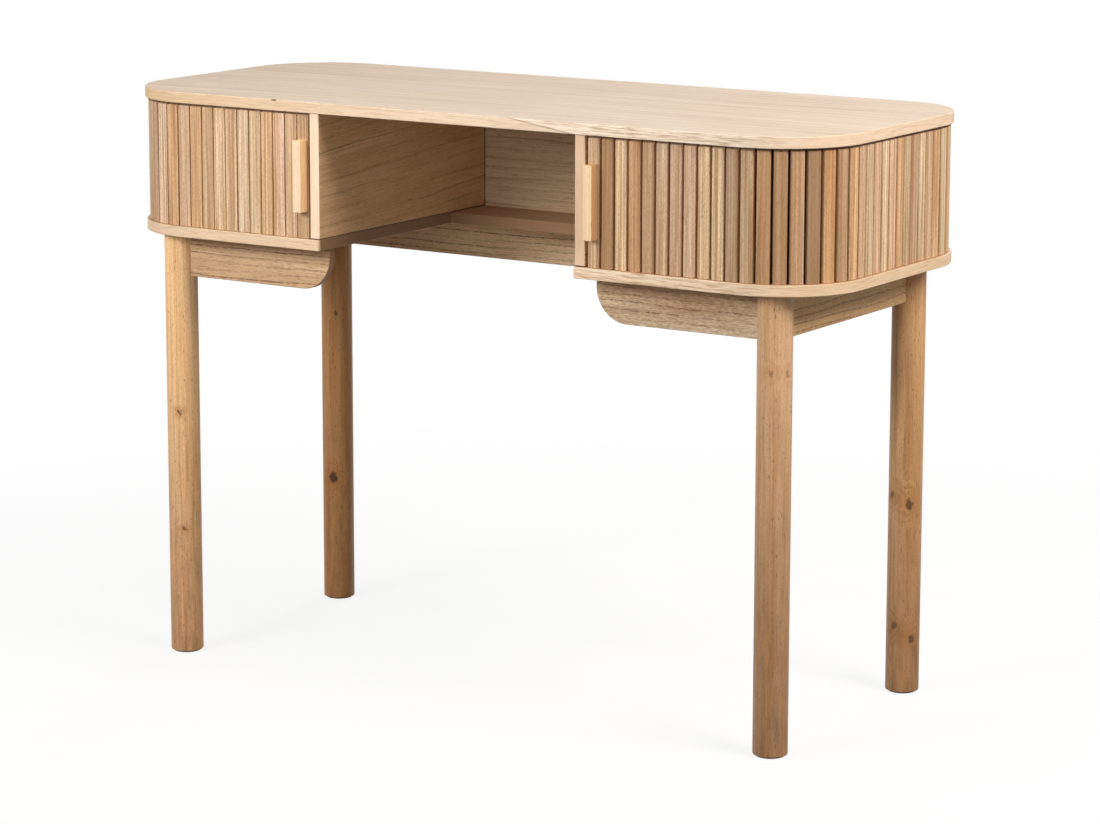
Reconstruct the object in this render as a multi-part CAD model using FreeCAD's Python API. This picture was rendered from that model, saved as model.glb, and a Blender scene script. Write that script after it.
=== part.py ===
"""Writing desk with two tambour cabinets: every separate piece is written to its own STEP file.

Millimetres, +Z up, +X to the right as seen from the front, the front facing -Y.
The pieces are drawn about the centre of the desk top and moved back by half of what the handles
stand out, so that the origin lies on the floor at the middle of the whole desk.
"""
import FreeCAD
import Part
import math
import os

V = FreeCAD.Vector

# Boards
TOP_LENGTH = 1100.0
TOP_DEPTH = 450.0
CORNER_RADIUS = 115.0
DESK_HEIGHT = 790.0
TOP_THICKNESS = 15.0
BASE_THICKNESS = 15.0
CABINET_HEIGHT = 168.0
EDGE_EASING = 1.2

# Kneehole and its walls
KNEEHOLE_WIDTH = 400.0
REAR_STRIP_DEPTH = 140.0
DIVIDER_THICKNESS = 15.0
DIVIDER_SETBACK = 3.0
BACK_PANEL_THICKNESS = 12.0
BACK_PANEL_RECESS = 41.0
BACK_PANEL_END_INSET = 80.0

# Legs and aprons
LEG_DIAMETER = 45.0
LEG_INSET_X = 82.0
LEG_INSET_Y = 45.0
LEG_END_EASING = 1.5
GLIDE_DIAMETER = 38.0
GLIDE_THICKNESS = 2.0
APRON_THICKNESS = 12.0
APRON_HEIGHT = 60.0
APRON_END_RADIUS = 46.0
APRON_HOUSING = 8.0
FRONT_APRON_SETBACK = 10.0
HOUSING_CLEARANCE = 0.1

# Tambour slats
SLAT_WIDTH = 17.0
SLAT_THICKNESS = 7.0
SLAT_PITCH = 20.0
SLAT_SETBACK = 4.0
SLAT_EASING = 1.2
SLAT_END_GAP = 3.5
SHADOW_GAP = 3.5
TONGUE_THICKNESS = 4.0
RUNNING_CLEARANCE = 0.4
SLAT_COUNTS = (1, 2, 2, 2, 2, 2, 2, 2, 2, 2, 3, 3, 3, 2, 3, 2, 2)

# Track grooves and canvas backing
GROOVE_SIDE_CLEARANCE = 0.5
GROOVE_DEPTH = 6.0
GROOVE_REAR_RUN = 185.0
CANVAS_THICKNESS = 0.8
CANVAS_MARGIN = 5.0
GLUE_LINE = 0.05

# Handles
HANDLE_WIDTH = 13.0
HANDLE_DEPTH = 15.0
HANDLE_LENGTH = 96.0
HANDLE_EASING = 1.0
HANDLE_SCREW_SPACING = 64.0
HANDLE_SCREW_DIAMETER = 3.5
HANDLE_SCREW_LENGTH = 16.0
HANDLE_SCREW_HEAD_DIAMETER = 7.0
HANDLE_SCREW_HEAD_HEIGHT = 2.2

# Hidden fixings
FIXING_CLEARANCE = 0.1
LEG_BOLT_DIAMETER = 8.0
LEG_BOLT_IN_LEG = 48.0
LEG_BOLT_IN_BASE = 11.0
LEG_BOLT_POINT = 8.0
SCREW_DIAMETER = 5.0
SCREW_LENGTH = 45.0
SCREW_HEAD_DIAMETER = 10.0
SCREW_HEAD_HEIGHT = 4.0
SCREW_SOCKET_WIDTH = 4.0
SCREW_SOCKET_DEPTH = 3.0
DOWEL_DIAMETER = 6.0
DOWEL_IN_BOARD = 9.0
DOWEL_IN_EDGE = 21.0
DIVIDER_SCREW_FROM_FRONT = 105.0
DIVIDER_SCREW_FROM_BACK = 112.0
BACK_SCREW_FROM_MIDDLE = 100.0
BACK_SCREW_FROM_END = 170.0
FRONT_DOWEL_FROM_END = 50.0
FRONT_DOWEL_FROM_LEG = 68.0
SIDE_DOWEL_FROM_LEG = 90.0
REAR_DOWEL_FROM_SCREW = 60.0

# Levels
TOP_UNDERSIDE = DESK_HEIGHT - TOP_THICKNESS
BASE_TOP = TOP_UNDERSIDE - CABINET_HEIGHT
BASE_UNDERSIDE = BASE_TOP - BASE_THICKNESS
APRON_BOTTOM = BASE_UNDERSIDE - APRON_HEIGHT

# Plan positions
LEG_X = TOP_LENGTH / 2 - LEG_INSET_X
LEG_Y = TOP_DEPTH / 2 - LEG_INSET_Y
LEG_RADIUS = LEG_DIAMETER / 2
APRON_END = LEG_RADIUS - APRON_HOUSING
ARC_X = TOP_LENGTH / 2 - CORNER_RADIUS
ARC_Y = TOP_DEPTH / 2 - CORNER_RADIUS
DIVIDER_INNER = KNEEHOLE_WIDTH / 2
DIVIDER_OUTER = DIVIDER_INNER + DIVIDER_THICKNESS
DIVIDER_MIDDLE = DIVIDER_INNER + DIVIDER_THICKNESS / 2
DIVIDER_FRONT = DIVIDER_SETBACK - TOP_DEPTH / 2
BACK_PANEL_REAR = TOP_DEPTH / 2 - BACK_PANEL_RECESS
BACK_PANEL_FRONT = BACK_PANEL_REAR - BACK_PANEL_THICKNESS
BACK_PANEL_MIDDLE = BACK_PANEL_REAR - BACK_PANEL_THICKNESS / 2
BACK_PANEL_END = TOP_LENGTH / 2 - BACK_PANEL_END_INSET
REAR_STRIP_FRONT = TOP_DEPTH / 2 - REAR_STRIP_DEPTH
FRONT_APRON_INNER_END = DIVIDER_INNER + FRONT_APRON_SETBACK
SLAT_INNER_INSET = SLAT_SETBACK + SLAT_THICKNESS
PATH_RADIUS = CORNER_RADIUS - SLAT_INNER_INSET
PATH_ARC = PATH_RADIUS * math.pi / 2
PATH_SIDE = 2 * ARC_Y
FIRST_SLAT = DIVIDER_OUTER + SLAT_END_GAP + SLAT_WIDTH / 2 - ARC_X
HANDLE_MIDDLE_Z = BASE_TOP + CABINET_HEIGHT / 2
ORIGIN_SHIFT = V(0, (HANDLE_DEPTH - SLAT_SETBACK) / 2, 0)


def box(x0, x1, y0, y1, z0, z1):
    """Block between two corners."""
    return Part.makeBox(x1 - x0, y1 - y0, z1 - z0, V(x0, y0, z0))


def rod(x, y, z0, z1, radius):
    """Upright round bar."""
    return Part.makeCylinder(radius, z1 - z0, V(x, y, z0))


def arc(centre, radius, start, end):
    """Arc edge in plan between two angles in degrees."""
    angles = (start, (start + end) / 2, end)
    points = [
        centre + V(radius * math.cos(math.radians(a)), radius * math.sin(math.radians(a)), 0)
        for a in angles
    ]
    return Part.Arc(*points).toShape()


def plate(inset, z0, z1):
    """Board with the desk's rounded outline, drawn in from the edge by inset."""
    radius = CORNER_RADIUS - inset
    edges = []
    corners = ((1, -1, -90), (1, 1, 0), (-1, 1, 90), (-1, -1, 180))
    for sx, sy, start in corners:
        edges.append(arc(V(sx * ARC_X, sy * ARC_Y, z0), radius, start, start + 90))
    for this, following in zip(list(edges), edges[1:] + edges[:1]):
        edges.append(Part.makeLine(this.Vertexes[-1].Point, following.Vertexes[0].Point))
    wire = Part.Wire(Part.__sortEdges__(edges))
    return Part.Face(wire).extrude(V(0, 0, z1 - z0))


def level(edge):
    """Whether an edge lies flat."""
    return abs(edge.Vertexes[0].Z - edge.Vertexes[-1].Z) < 1e-6


def upright_edges(board, x):
    """Edges of a board that stand upright at x on either side."""
    return [e for e in board.Edges if not level(e) and abs(abs(e.Vertexes[0].X) - x) < 1e-6]


def eased(board):
    """The same board with its sharp edges slightly rounded."""
    return board.makeFillet(EDGE_EASING, board.Edges)


def track(z0, z1):
    """Groove that the slat ends run along, from each divider round the end to behind the back."""
    outer = SLAT_INNER_INSET - TONGUE_THICKNESS - GROOVE_SIDE_CLEARANCE
    inner = SLAT_INNER_INSET + CANVAS_THICKNESS + GROOVE_SIDE_CLEARANCE
    ring = plate(outer, z0, z1).cut(plate(inner, z0, z1))
    middle = box(-DIVIDER_OUTER, DIVIDER_OUTER, -TOP_DEPTH, 0, z0, z1)
    rear_end = ARC_X - GROOVE_REAR_RUN
    rear = box(-rear_end, rear_end, 0, TOP_DEPTH, z0, z1)
    return ring.cut(middle).cut(rear)


def mirrored(shape):
    """The same piece on the left-hand side."""
    return shape.mirror(V(0, 0, 0), V(1, 0, 0))


def four_corners():
    """Centres of the legs, by name."""
    return {
        "front_left": (-LEG_X, -LEG_Y),
        "front_right": (LEG_X, -LEG_Y),
        "rear_left": (-LEG_X, LEG_Y),
        "rear_right": (LEG_X, LEG_Y),
    }


def back_screw_places():
    """Distances from the middle of the screws in one half of the back panel."""
    return BACK_SCREW_FROM_MIDDLE, BACK_PANEL_END - BACK_SCREW_FROM_END


def screw_places():
    """Plan positions of the screws that hold the dividers and the back panel to the base."""
    divider_y = (-TOP_DEPTH / 2 + DIVIDER_SCREW_FROM_FRONT, BACK_PANEL_FRONT - DIVIDER_SCREW_FROM_BACK)
    places = [(s * DIVIDER_MIDDLE, y) for s in (-1, 1) for y in divider_y]
    return places + [(s * x, BACK_PANEL_MIDDLE) for s in (-1, 1) for x in back_screw_places()]


def apron_dowel_places():
    """Plan positions of the dowels between the aprons and the base."""
    front_x = (FRONT_APRON_INNER_END + FRONT_DOWEL_FROM_END, LEG_X - FRONT_DOWEL_FROM_LEG)
    side_y = LEG_Y - SIDE_DOWEL_FROM_LEG
    places = [(s * x, -LEG_Y) for s in (-1, 1) for x in front_x]
    places += [(s * LEG_X, t * side_y) for s in (-1, 1) for t in (-1, 1)]
    return places + [(s * (x + REAR_DOWEL_FROM_SCREW), LEG_Y) for s in (-1, 1) for x in back_screw_places()]


def screw(x, y, grow=0.0):
    """Countersunk carcass screw driven up through the base; grow makes its hole."""
    head = Part.makeCone(
        SCREW_HEAD_DIAMETER / 2 + grow, SCREW_DIAMETER / 2 + grow, SCREW_HEAD_HEIGHT,
        V(x, y, BASE_UNDERSIDE),
    )
    shank = rod(x, y, BASE_UNDERSIDE, BASE_UNDERSIDE + SCREW_LENGTH + grow, SCREW_DIAMETER / 2 + grow)
    return head.fuse(shank).removeSplitter()


def socket(x, y):
    """Hexagonal driving socket in a carcass screw's head."""
    radius = SCREW_SOCKET_WIDTH / math.sqrt(3)
    points = [
        V(x + radius * math.cos(k * math.pi / 3), y + radius * math.sin(k * math.pi / 3), BASE_UNDERSIDE)
        for k in range(7)
    ]
    return Part.Face(Part.makePolygon(points)).extrude(V(0, 0, SCREW_SOCKET_DEPTH))


def apron_dowel(x, y, grow=0.0):
    """Dowel between an apron's upper edge and the base; grow makes its hole."""
    low = BASE_UNDERSIDE - DOWEL_IN_EDGE - grow
    high = BASE_UNDERSIDE + DOWEL_IN_BOARD + grow
    return rod(x, y, low, high, DOWEL_DIAMETER / 2 + grow)


def top_dowel(x, y, grow=0.0):
    """Dowel between a wall's upper edge and the desk top; grow makes its hole."""
    low = TOP_UNDERSIDE - DOWEL_IN_EDGE - grow
    high = TOP_UNDERSIDE + DOWEL_IN_BOARD + grow
    return rod(x, y, low, high, DOWEL_DIAMETER / 2 + grow)


def leg_bolt(x, y, grow=0.0):
    """Hanger bolt up the middle of a leg into the base; grow makes its hole."""
    radius = LEG_BOLT_DIAMETER / 2 + grow
    low = BASE_UNDERSIDE - LEG_BOLT_IN_LEG - grow
    point = Part.makeCone(radius / 2, radius, LEG_BOLT_POINT, V(x, y, low))
    shank = rod(x, y, low + LEG_BOLT_POINT, BASE_UNDERSIDE + LEG_BOLT_IN_BASE + grow, radius)
    return point.fuse(shank).removeSplitter()


def handle_screw(z, grow=0.0):
    """Countersunk screw through the right-hand lead slat into its handle; grow makes its hole."""
    x = ARC_X + FIRST_SLAT
    y = -(TOP_DEPTH / 2 - SLAT_INNER_INSET)
    forward = V(0, -1, 0)
    shank_radius = HANDLE_SCREW_DIAMETER / 2 + grow
    head = Part.makeCone(
        HANDLE_SCREW_HEAD_DIAMETER / 2 + grow, shank_radius, HANDLE_SCREW_HEAD_HEIGHT, V(x, y, z), forward
    )
    shank = Part.makeCylinder(shank_radius, HANDLE_SCREW_LENGTH + grow, V(x, y, z), forward)
    return head.fuse(shank).removeSplitter()


def handle_screw_levels():
    """Heights of the two screws of a handle."""
    return [HANDLE_MIDDLE_Z + s * HANDLE_SCREW_SPACING / 2 for s in (-1, 1)]


def desk_top():
    """Top board with the two track grooves and the dowel holes in its underside."""
    board = plate(0, TOP_UNDERSIDE, DESK_HEIGHT)
    board = board.makeFillet(EDGE_EASING, [e for e in board.Edges if level(e)])
    board = board.cut(track(TOP_UNDERSIDE, TOP_UNDERSIDE + GROOVE_DEPTH))
    for x, y in screw_places():
        board = board.cut(top_dowel(x, y, FIXING_CLEARANCE))
    return board


def base_board():
    """U-shaped floor of the cabinets with the rear strip that joins them."""
    notch = box(-DIVIDER_INNER, DIVIDER_INNER, -TOP_DEPTH, REAR_STRIP_FRONT, BASE_UNDERSIDE, BASE_TOP)
    board = plate(0, BASE_UNDERSIDE, BASE_TOP).cut(notch)
    rims = [e for e in board.Edges if level(e)]
    corners = [e for e in upright_edges(board, DIVIDER_INNER) if e.Vertexes[0].Y < 0]
    board = board.makeFillet(EDGE_EASING, rims + corners)
    board = board.cut(track(BASE_TOP - GROOVE_DEPTH, BASE_TOP))
    for x, y in four_corners().values():
        board = board.cut(leg_bolt(x, y, FIXING_CLEARANCE))
    for x, y in screw_places():
        board = board.cut(screw(x, y, FIXING_CLEARANCE))
    for x, y in apron_dowel_places():
        board = board.cut(apron_dowel(x, y, FIXING_CLEARANCE))
    return board


def wall_holes(wall):
    """Cut the screw and dowel holes of a divider or the back panel."""
    for x, y in screw_places():
        wall = wall.cut(screw(x, y, FIXING_CLEARANCE)).cut(top_dowel(x, y, FIXING_CLEARANCE))
    return wall


def right_divider():
    """Wall between the kneehole and the right-hand cabinet."""
    wall = box(DIVIDER_INNER, DIVIDER_OUTER, DIVIDER_FRONT, BACK_PANEL_FRONT, BASE_TOP, TOP_UNDERSIDE)
    return wall_holes(eased(wall))


def back_panel():
    """Rear wall of the kneehole and of both cabinets, in front of the rear track."""
    wall = box(
        -BACK_PANEL_END, BACK_PANEL_END, BACK_PANEL_FRONT, BACK_PANEL_REAR, BASE_TOP, TOP_UNDERSIDE
    )
    return wall_holes(wall)


def right_front_apron(grow=0.0):
    """Short front rail with a quarter-round inner end; grow makes its housing in the leg."""
    outer = LEG_X - APRON_END + grow
    low = APRON_BOTTOM - grow
    half = APRON_THICKNESS / 2 + grow
    rail = box(FRONT_APRON_INNER_END, outer, -LEG_Y - half, -LEG_Y + half, low, BASE_UNDERSIDE)
    radius = APRON_END_RADIUS
    corner = box(
        FRONT_APRON_INNER_END, FRONT_APRON_INNER_END + radius, -LEG_Y - half, -LEG_Y + half,
        low, low + radius,
    )
    centre = V(FRONT_APRON_INNER_END + radius, -LEG_Y - half, low + radius)
    return rail.cut(corner.cut(Part.makeCylinder(radius, 2 * half, centre, V(0, 1, 0))))


def right_side_apron(grow=0.0):
    """Side rail between the right-hand legs; grow makes its housings."""
    half = APRON_THICKNESS / 2 + grow
    end = LEG_Y - APRON_END + grow
    return box(LEG_X - half, LEG_X + half, -end, end, APRON_BOTTOM - grow, BASE_UNDERSIDE)


def rear_apron(grow=0.0):
    """Long rail between the rear legs; grow makes its housings."""
    half = APRON_THICKNESS / 2 + grow
    end = LEG_X - APRON_END + grow
    return box(-end, end, LEG_Y - half, LEG_Y + half, APRON_BOTTOM - grow, BASE_UNDERSIDE)


def dowelled(apron):
    """Ease an apron's edges and cut the dowel holes in its upper edge."""
    apron = eased(apron)
    for x, y in apron_dowel_places():
        apron = apron.cut(apron_dowel(x, y, FIXING_CLEARANCE))
    return apron


def leg(x, y):
    """Round leg with housings for two aprons and a hole for its bolt."""
    post = rod(x, y, GLIDE_THICKNESS, BASE_UNDERSIDE, LEG_RADIUS)
    foot = [e for e in post.Edges if e.BoundBox.ZMax < GLIDE_THICKNESS + 1e-6]
    post = post.makeFillet(LEG_END_EASING, foot)
    front = right_front_apron(HOUSING_CLEARANCE)
    side = right_side_apron(HOUSING_CLEARANCE)
    for rail in (front, mirrored(front), side, mirrored(side), rear_apron(HOUSING_CLEARANCE)):
        post = post.cut(rail)
    return post.cut(leg_bolt(x, y, FIXING_CLEARANCE))


def path_point(distance):
    """Place and heading in degrees on the right-hand track, from the start of the front bend."""
    inner_y = TOP_DEPTH / 2 - SLAT_INNER_INSET
    inner_x = TOP_LENGTH / 2 - SLAT_INNER_INSET
    if distance <= 0:
        return V(ARC_X + distance, -inner_y, 0), 0.0
    if distance <= PATH_ARC:
        angle = distance / PATH_RADIUS
        place = V(ARC_X + PATH_RADIUS * math.sin(angle), -ARC_Y - PATH_RADIUS * math.cos(angle), 0)
        return place, math.degrees(angle)
    distance -= PATH_ARC
    if distance <= PATH_SIDE:
        return V(inner_x, -ARC_Y + distance, 0), 90.0
    distance -= PATH_SIDE
    if distance <= PATH_ARC:
        angle = distance / PATH_RADIUS
        place = V(ARC_X + PATH_RADIUS * math.cos(angle), ARC_Y + PATH_RADIUS * math.sin(angle), 0)
        return place, 90.0 + math.degrees(angle)
    return V(ARC_X + PATH_ARC - distance, inner_y, 0), 180.0


def slat(distance):
    """One slat: eased front edges and a thin tongue above the shadow gap."""
    half = SLAT_WIDTH / 2
    low = BASE_TOP + RUNNING_CLEARANCE
    shoulder = TOP_UNDERSIDE - SHADOW_GAP
    body = box(-half, half, -SLAT_THICKNESS, 0, low, shoulder)
    front = [e for e in body.Edges if e.BoundBox.YMax < -SLAT_THICKNESS + 1e-6 and e.BoundBox.ZLength > 1]
    body = body.makeFillet(SLAT_EASING, front)
    tongue = box(-half, half, -TONGUE_THICKNESS, 0, shoulder, TOP_UNDERSIDE - RUNNING_CLEARANCE)
    piece = body.fuse(tongue).removeSplitter()
    place, heading = path_point(distance)
    piece.rotate(V(0, 0, 0), V(0, 0, 1), heading)
    piece.translate(place)
    return piece


def slat_groups():
    """Right-hand slats by name: the lead slat, then the groups that the canvas carries together."""
    groups = {}
    number = 1
    for count in SLAT_COUNTS:
        numbers = range(number, number + count)
        pieces = [slat(FIRST_SLAT + SLAT_PITCH * (n - 1)) for n in numbers]
        name = "lead_slat" if number == 1 else "slats_" + "_".join("%02d" % n for n in numbers)
        groups[name] = pieces
        number += count
    for z in handle_screw_levels():
        groups["lead_slat"][0] = groups["lead_slat"][0].cut(handle_screw(z, FIXING_CLEARANCE))
    return groups


def right_canvas():
    """Cloth glued behind the right-hand slats, one sheet round the end of the desk."""
    last = FIRST_SLAT + SLAT_PITCH * (sum(SLAT_COUNTS) - 1) + SLAT_WIDTH / 2
    past_side = last - PATH_ARC - PATH_SIDE
    end_angle = math.degrees(min(past_side, PATH_ARC) / PATH_RADIUS)
    low = BASE_TOP + CANVAS_MARGIN
    start_x = ARC_X + FIRST_SLAT - SLAT_WIDTH / 2
    edges = []
    ends = []
    for radius in (PATH_RADIUS - GLUE_LINE, PATH_RADIUS - GLUE_LINE - CANVAS_THICKNESS):
        first = arc(V(ARC_X, -ARC_Y, low), radius, -90, 0)
        second = arc(V(ARC_X, ARC_Y, low), radius, 0, end_angle)
        begin = V(start_x, -ARC_Y - radius, low)
        end = second.Vertexes[-1].Point
        edges += [Part.makeLine(begin, first.Vertexes[0].Point), first]
        edges += [Part.makeLine(first.Vertexes[-1].Point, second.Vertexes[0].Point), second]
        if past_side > PATH_ARC:
            tail = V(ARC_X + PATH_ARC - past_side, ARC_Y + radius, low)
            edges.append(Part.makeLine(end, tail))
            end = tail
        ends.append((begin, end))
    edges += [Part.makeLine(ends[0][k], ends[1][k]) for k in (0, 1)]
    sheet = Part.Face(Part.Wire(Part.__sortEdges__(edges)))
    return sheet.extrude(V(0, 0, TOP_UNDERSIDE - SHADOW_GAP - CANVAS_MARGIN - low))


def right_handle():
    """Square bar screwed to the lead slat."""
    x = ARC_X + FIRST_SLAT
    back = -(TOP_DEPTH / 2 - SLAT_SETBACK)
    half = HANDLE_WIDTH / 2
    low = HANDLE_MIDDLE_Z - HANDLE_LENGTH / 2
    bar = box(x - half, x + half, back - HANDLE_DEPTH, back, low, low + HANDLE_LENGTH)
    seen = [e for e in bar.Edges if e.BoundBox.YMin < back - 1e-6]
    bar = bar.makeFillet(HANDLE_EASING, seen)
    for z in handle_screw_levels():
        bar = bar.cut(handle_screw(z, FIXING_CLEARANCE))
    return bar


def glide(x, y):
    """Felt pad under a leg."""
    return rod(x, y, 0, GLIDE_THICKNESS, GLIDE_DIAMETER / 2)


def all_nodes():
    """Every node's name with its list of solids."""
    corners = four_corners()
    nodes = {
        "desk_top": [desk_top()],
        "base_board": [base_board()],
        "right_divider": [right_divider()],
        "left_divider": [mirrored(right_divider())],
        "back_panel": [back_panel()],
        "right_front_apron": [dowelled(right_front_apron())],
        "left_front_apron": [mirrored(dowelled(right_front_apron()))],
        "right_side_apron": [dowelled(right_side_apron())],
        "left_side_apron": [mirrored(dowelled(right_side_apron()))],
        "rear_apron": [dowelled(rear_apron())],
        "leg_bolts": [leg_bolt(x, y) for x, y in corners.values()],
        "foot_glides": [glide(x, y) for x, y in corners.values()],
        "carcass_screws": [screw(x, y).cut(socket(x, y)) for x, y in screw_places()],
        "top_dowels": [top_dowel(x, y) for x, y in screw_places()],
        "apron_dowels": [apron_dowel(x, y) for x, y in apron_dowel_places()],
    }
    for name, (x, y) in corners.items():
        nodes[name + "_leg"] = [leg(x, y)]
    door = {
        "handle": [right_handle()],
        "handle_screws": [handle_screw(z) for z in handle_screw_levels()],
        "canvas": [right_canvas()],
    }
    door.update(slat_groups())
    for name, solids in door.items():
        nodes["right_" + name] = solids
        nodes["left_" + name] = [mirrored(s) for s in solids]
    return nodes


def write(name, solids):
    """Move a node to the desk's own origin and write it."""
    shape = solids[0] if len(solids) == 1 else Part.makeCompound(solids)
    shape = shape.copy()
    shape.translate(ORIGIN_SHIFT)
    shape.exportStep("parts/%s.step" % name)


os.makedirs("parts", exist_ok=True)
for node_name, node_solids in all_nodes().items():
    write(node_name, node_solids)
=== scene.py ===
"""Looks of a writing desk with two tambour cabinets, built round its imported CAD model.

Metres, +Z up, the front facing -Y. Boards, legs and handles are the CAD solids with wood
finishes; the slats, the cloth behind them and the felt under the feet are built here.
"""
import logging
import math
from dataclasses import dataclass
from enum import Enum

import bmesh
import bpy
from mathutils import Euler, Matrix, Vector


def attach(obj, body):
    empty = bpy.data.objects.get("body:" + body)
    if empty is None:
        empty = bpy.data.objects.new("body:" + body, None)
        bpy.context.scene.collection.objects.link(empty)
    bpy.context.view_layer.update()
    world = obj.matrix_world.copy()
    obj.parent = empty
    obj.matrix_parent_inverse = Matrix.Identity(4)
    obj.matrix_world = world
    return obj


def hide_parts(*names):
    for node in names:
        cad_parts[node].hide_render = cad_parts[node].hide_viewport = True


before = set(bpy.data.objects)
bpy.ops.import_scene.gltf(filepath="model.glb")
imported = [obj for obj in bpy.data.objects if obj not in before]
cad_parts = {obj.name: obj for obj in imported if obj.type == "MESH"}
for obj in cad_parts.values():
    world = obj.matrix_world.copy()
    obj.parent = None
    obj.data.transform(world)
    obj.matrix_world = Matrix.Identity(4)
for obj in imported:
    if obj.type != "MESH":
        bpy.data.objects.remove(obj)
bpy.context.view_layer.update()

MM = 0.001
LOG = logging.getLogger("tambour_desk")

Pair = tuple[float, float]
Triple = tuple[float, float, float]
Node = bpy.types.Node
Outputs = bpy.types.NodeOutputs
Tree = bpy.types.NodeTree

# What feeds an input: one socket, or a node for its first output
Source = bpy.types.NodeSocket | bpy.types.Node

# Sockets of Blender's colour Mix node, which share their names
MIX_FACTOR, MIX_A, MIX_B, MIX_RESULT = 0, 6, 7, 2

# Weight of each finer octave of the woods' noise
NOISE_ROUGHNESS = 0.6

# Share of a growth ring at which its late wood is darkest, and at which it begins to stop
LATE_DARKEST, LATE_STOP = 0.92, 0.93

# Radians of Blender's wave texture for each unit of length at scale 1
WAVE_RADIANS = 20


def linear(code: str) -> tuple[float, float, float, float]:
    """Turn an sRGB hex colour into linear light, with the numbers of the sRGB standard.

    Args:
        code: Colour such as "#e4cdb8".

    Returns:
        Red, green, blue and alpha.
    """
    parts = [int(code[i:i + 2], 16) / 255 for i in (1, 3, 5)]
    light = [c / 12.92 if c <= 0.04045 else ((c + 0.055) / 1.055) ** 2.4 for c in parts]
    return light[0], light[1], light[2], 1.0


def add_node(tree: Tree, kind: str, inputs: dict | None = None, **settings) -> Node:
    """Add one node with its settings and links.

    Args:
        tree: Node tree of a material, a world or a modifier.
        kind: Blender's name for the node.
        inputs: For each input, by name or number, its value or what feeds it.
        settings: Attributes of the node itself.

    Returns:
        The new node.
    """
    made = tree.nodes.new(kind)
    for name, value in settings.items():
        setattr(made, name, value)
    for key, value in (inputs or {}).items():
        if isinstance(value, Source):
            tree.links.new(value.outputs[0] if isinstance(value, Node) else value, made.inputs[key])
        else:
            made.inputs[key].default_value = value
    return made


class Grain(Enum):
    """Way the fibres run, as the turn that lays them along X."""

    LENGTHWISE = (0.0, 0.0, 0.0)
    FRONT_TO_BACK = (0.0, 0.0, -90.0)
    UPRIGHT = (0.0, 90.0, 0.0)


class Across(Enum):
    """Axis that a board's faces look along, as its number."""

    X = 0
    Y = 1
    Z = 2


class Row(Enum):
    """Row of legs, as its number from the front."""

    FRONT = 0
    REAR = 1


class Side(Enum):
    """Side of the desk, as the sign of X."""

    LEFT = -1
    RIGHT = 1

    @property
    def word(self) -> str:
        """Name of the side in the names of nodes."""
        return self.name.lower()


@dataclass(frozen=True)
class Surface:
    """What gives a surface its colour and its relief."""

    colour: Source
    height: Source


@dataclass(frozen=True)
class Finish:
    """A finish with a principled shader; each kind of finish draws its own surface."""

    name: str
    roughness: float = 0.55
    gloss: float = 0.3
    relief_mm: float = 0.15
    relief: float = 0.6

    def draw(self, tree: Tree) -> Surface:
        """Add the pattern's nodes.

        Args:
            tree: Node tree of the material.

        Returns:
            Colour and height of the surface.
        """
        raise NotImplementedError

    def shader_values(self) -> dict:
        """Values that are the same all over the surface."""
        return {"Roughness": self.roughness, "Specular IOR Level": self.gloss}

    def make(self) -> bpy.types.Material:
        """Build the material.

        Returns:
            The new material.
        """
        material = bpy.data.materials.new(self.name)
        material.use_nodes = True
        tree = material.node_tree
        tree.nodes.clear()
        surface = self.draw(tree)
        bump = add_node(tree, "ShaderNodeBump", {
            "Strength": self.relief, "Distance": self.relief_mm * MM, "Height": surface.height,
        })
        values = {"Base Color": surface.colour, "Normal": bump, **self.shader_values()}
        shader = add_node(tree, "ShaderNodeBsdfPrincipled", values)
        add_node(tree, "ShaderNodeOutputMaterial", {"Surface": shader})
        return material


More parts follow.
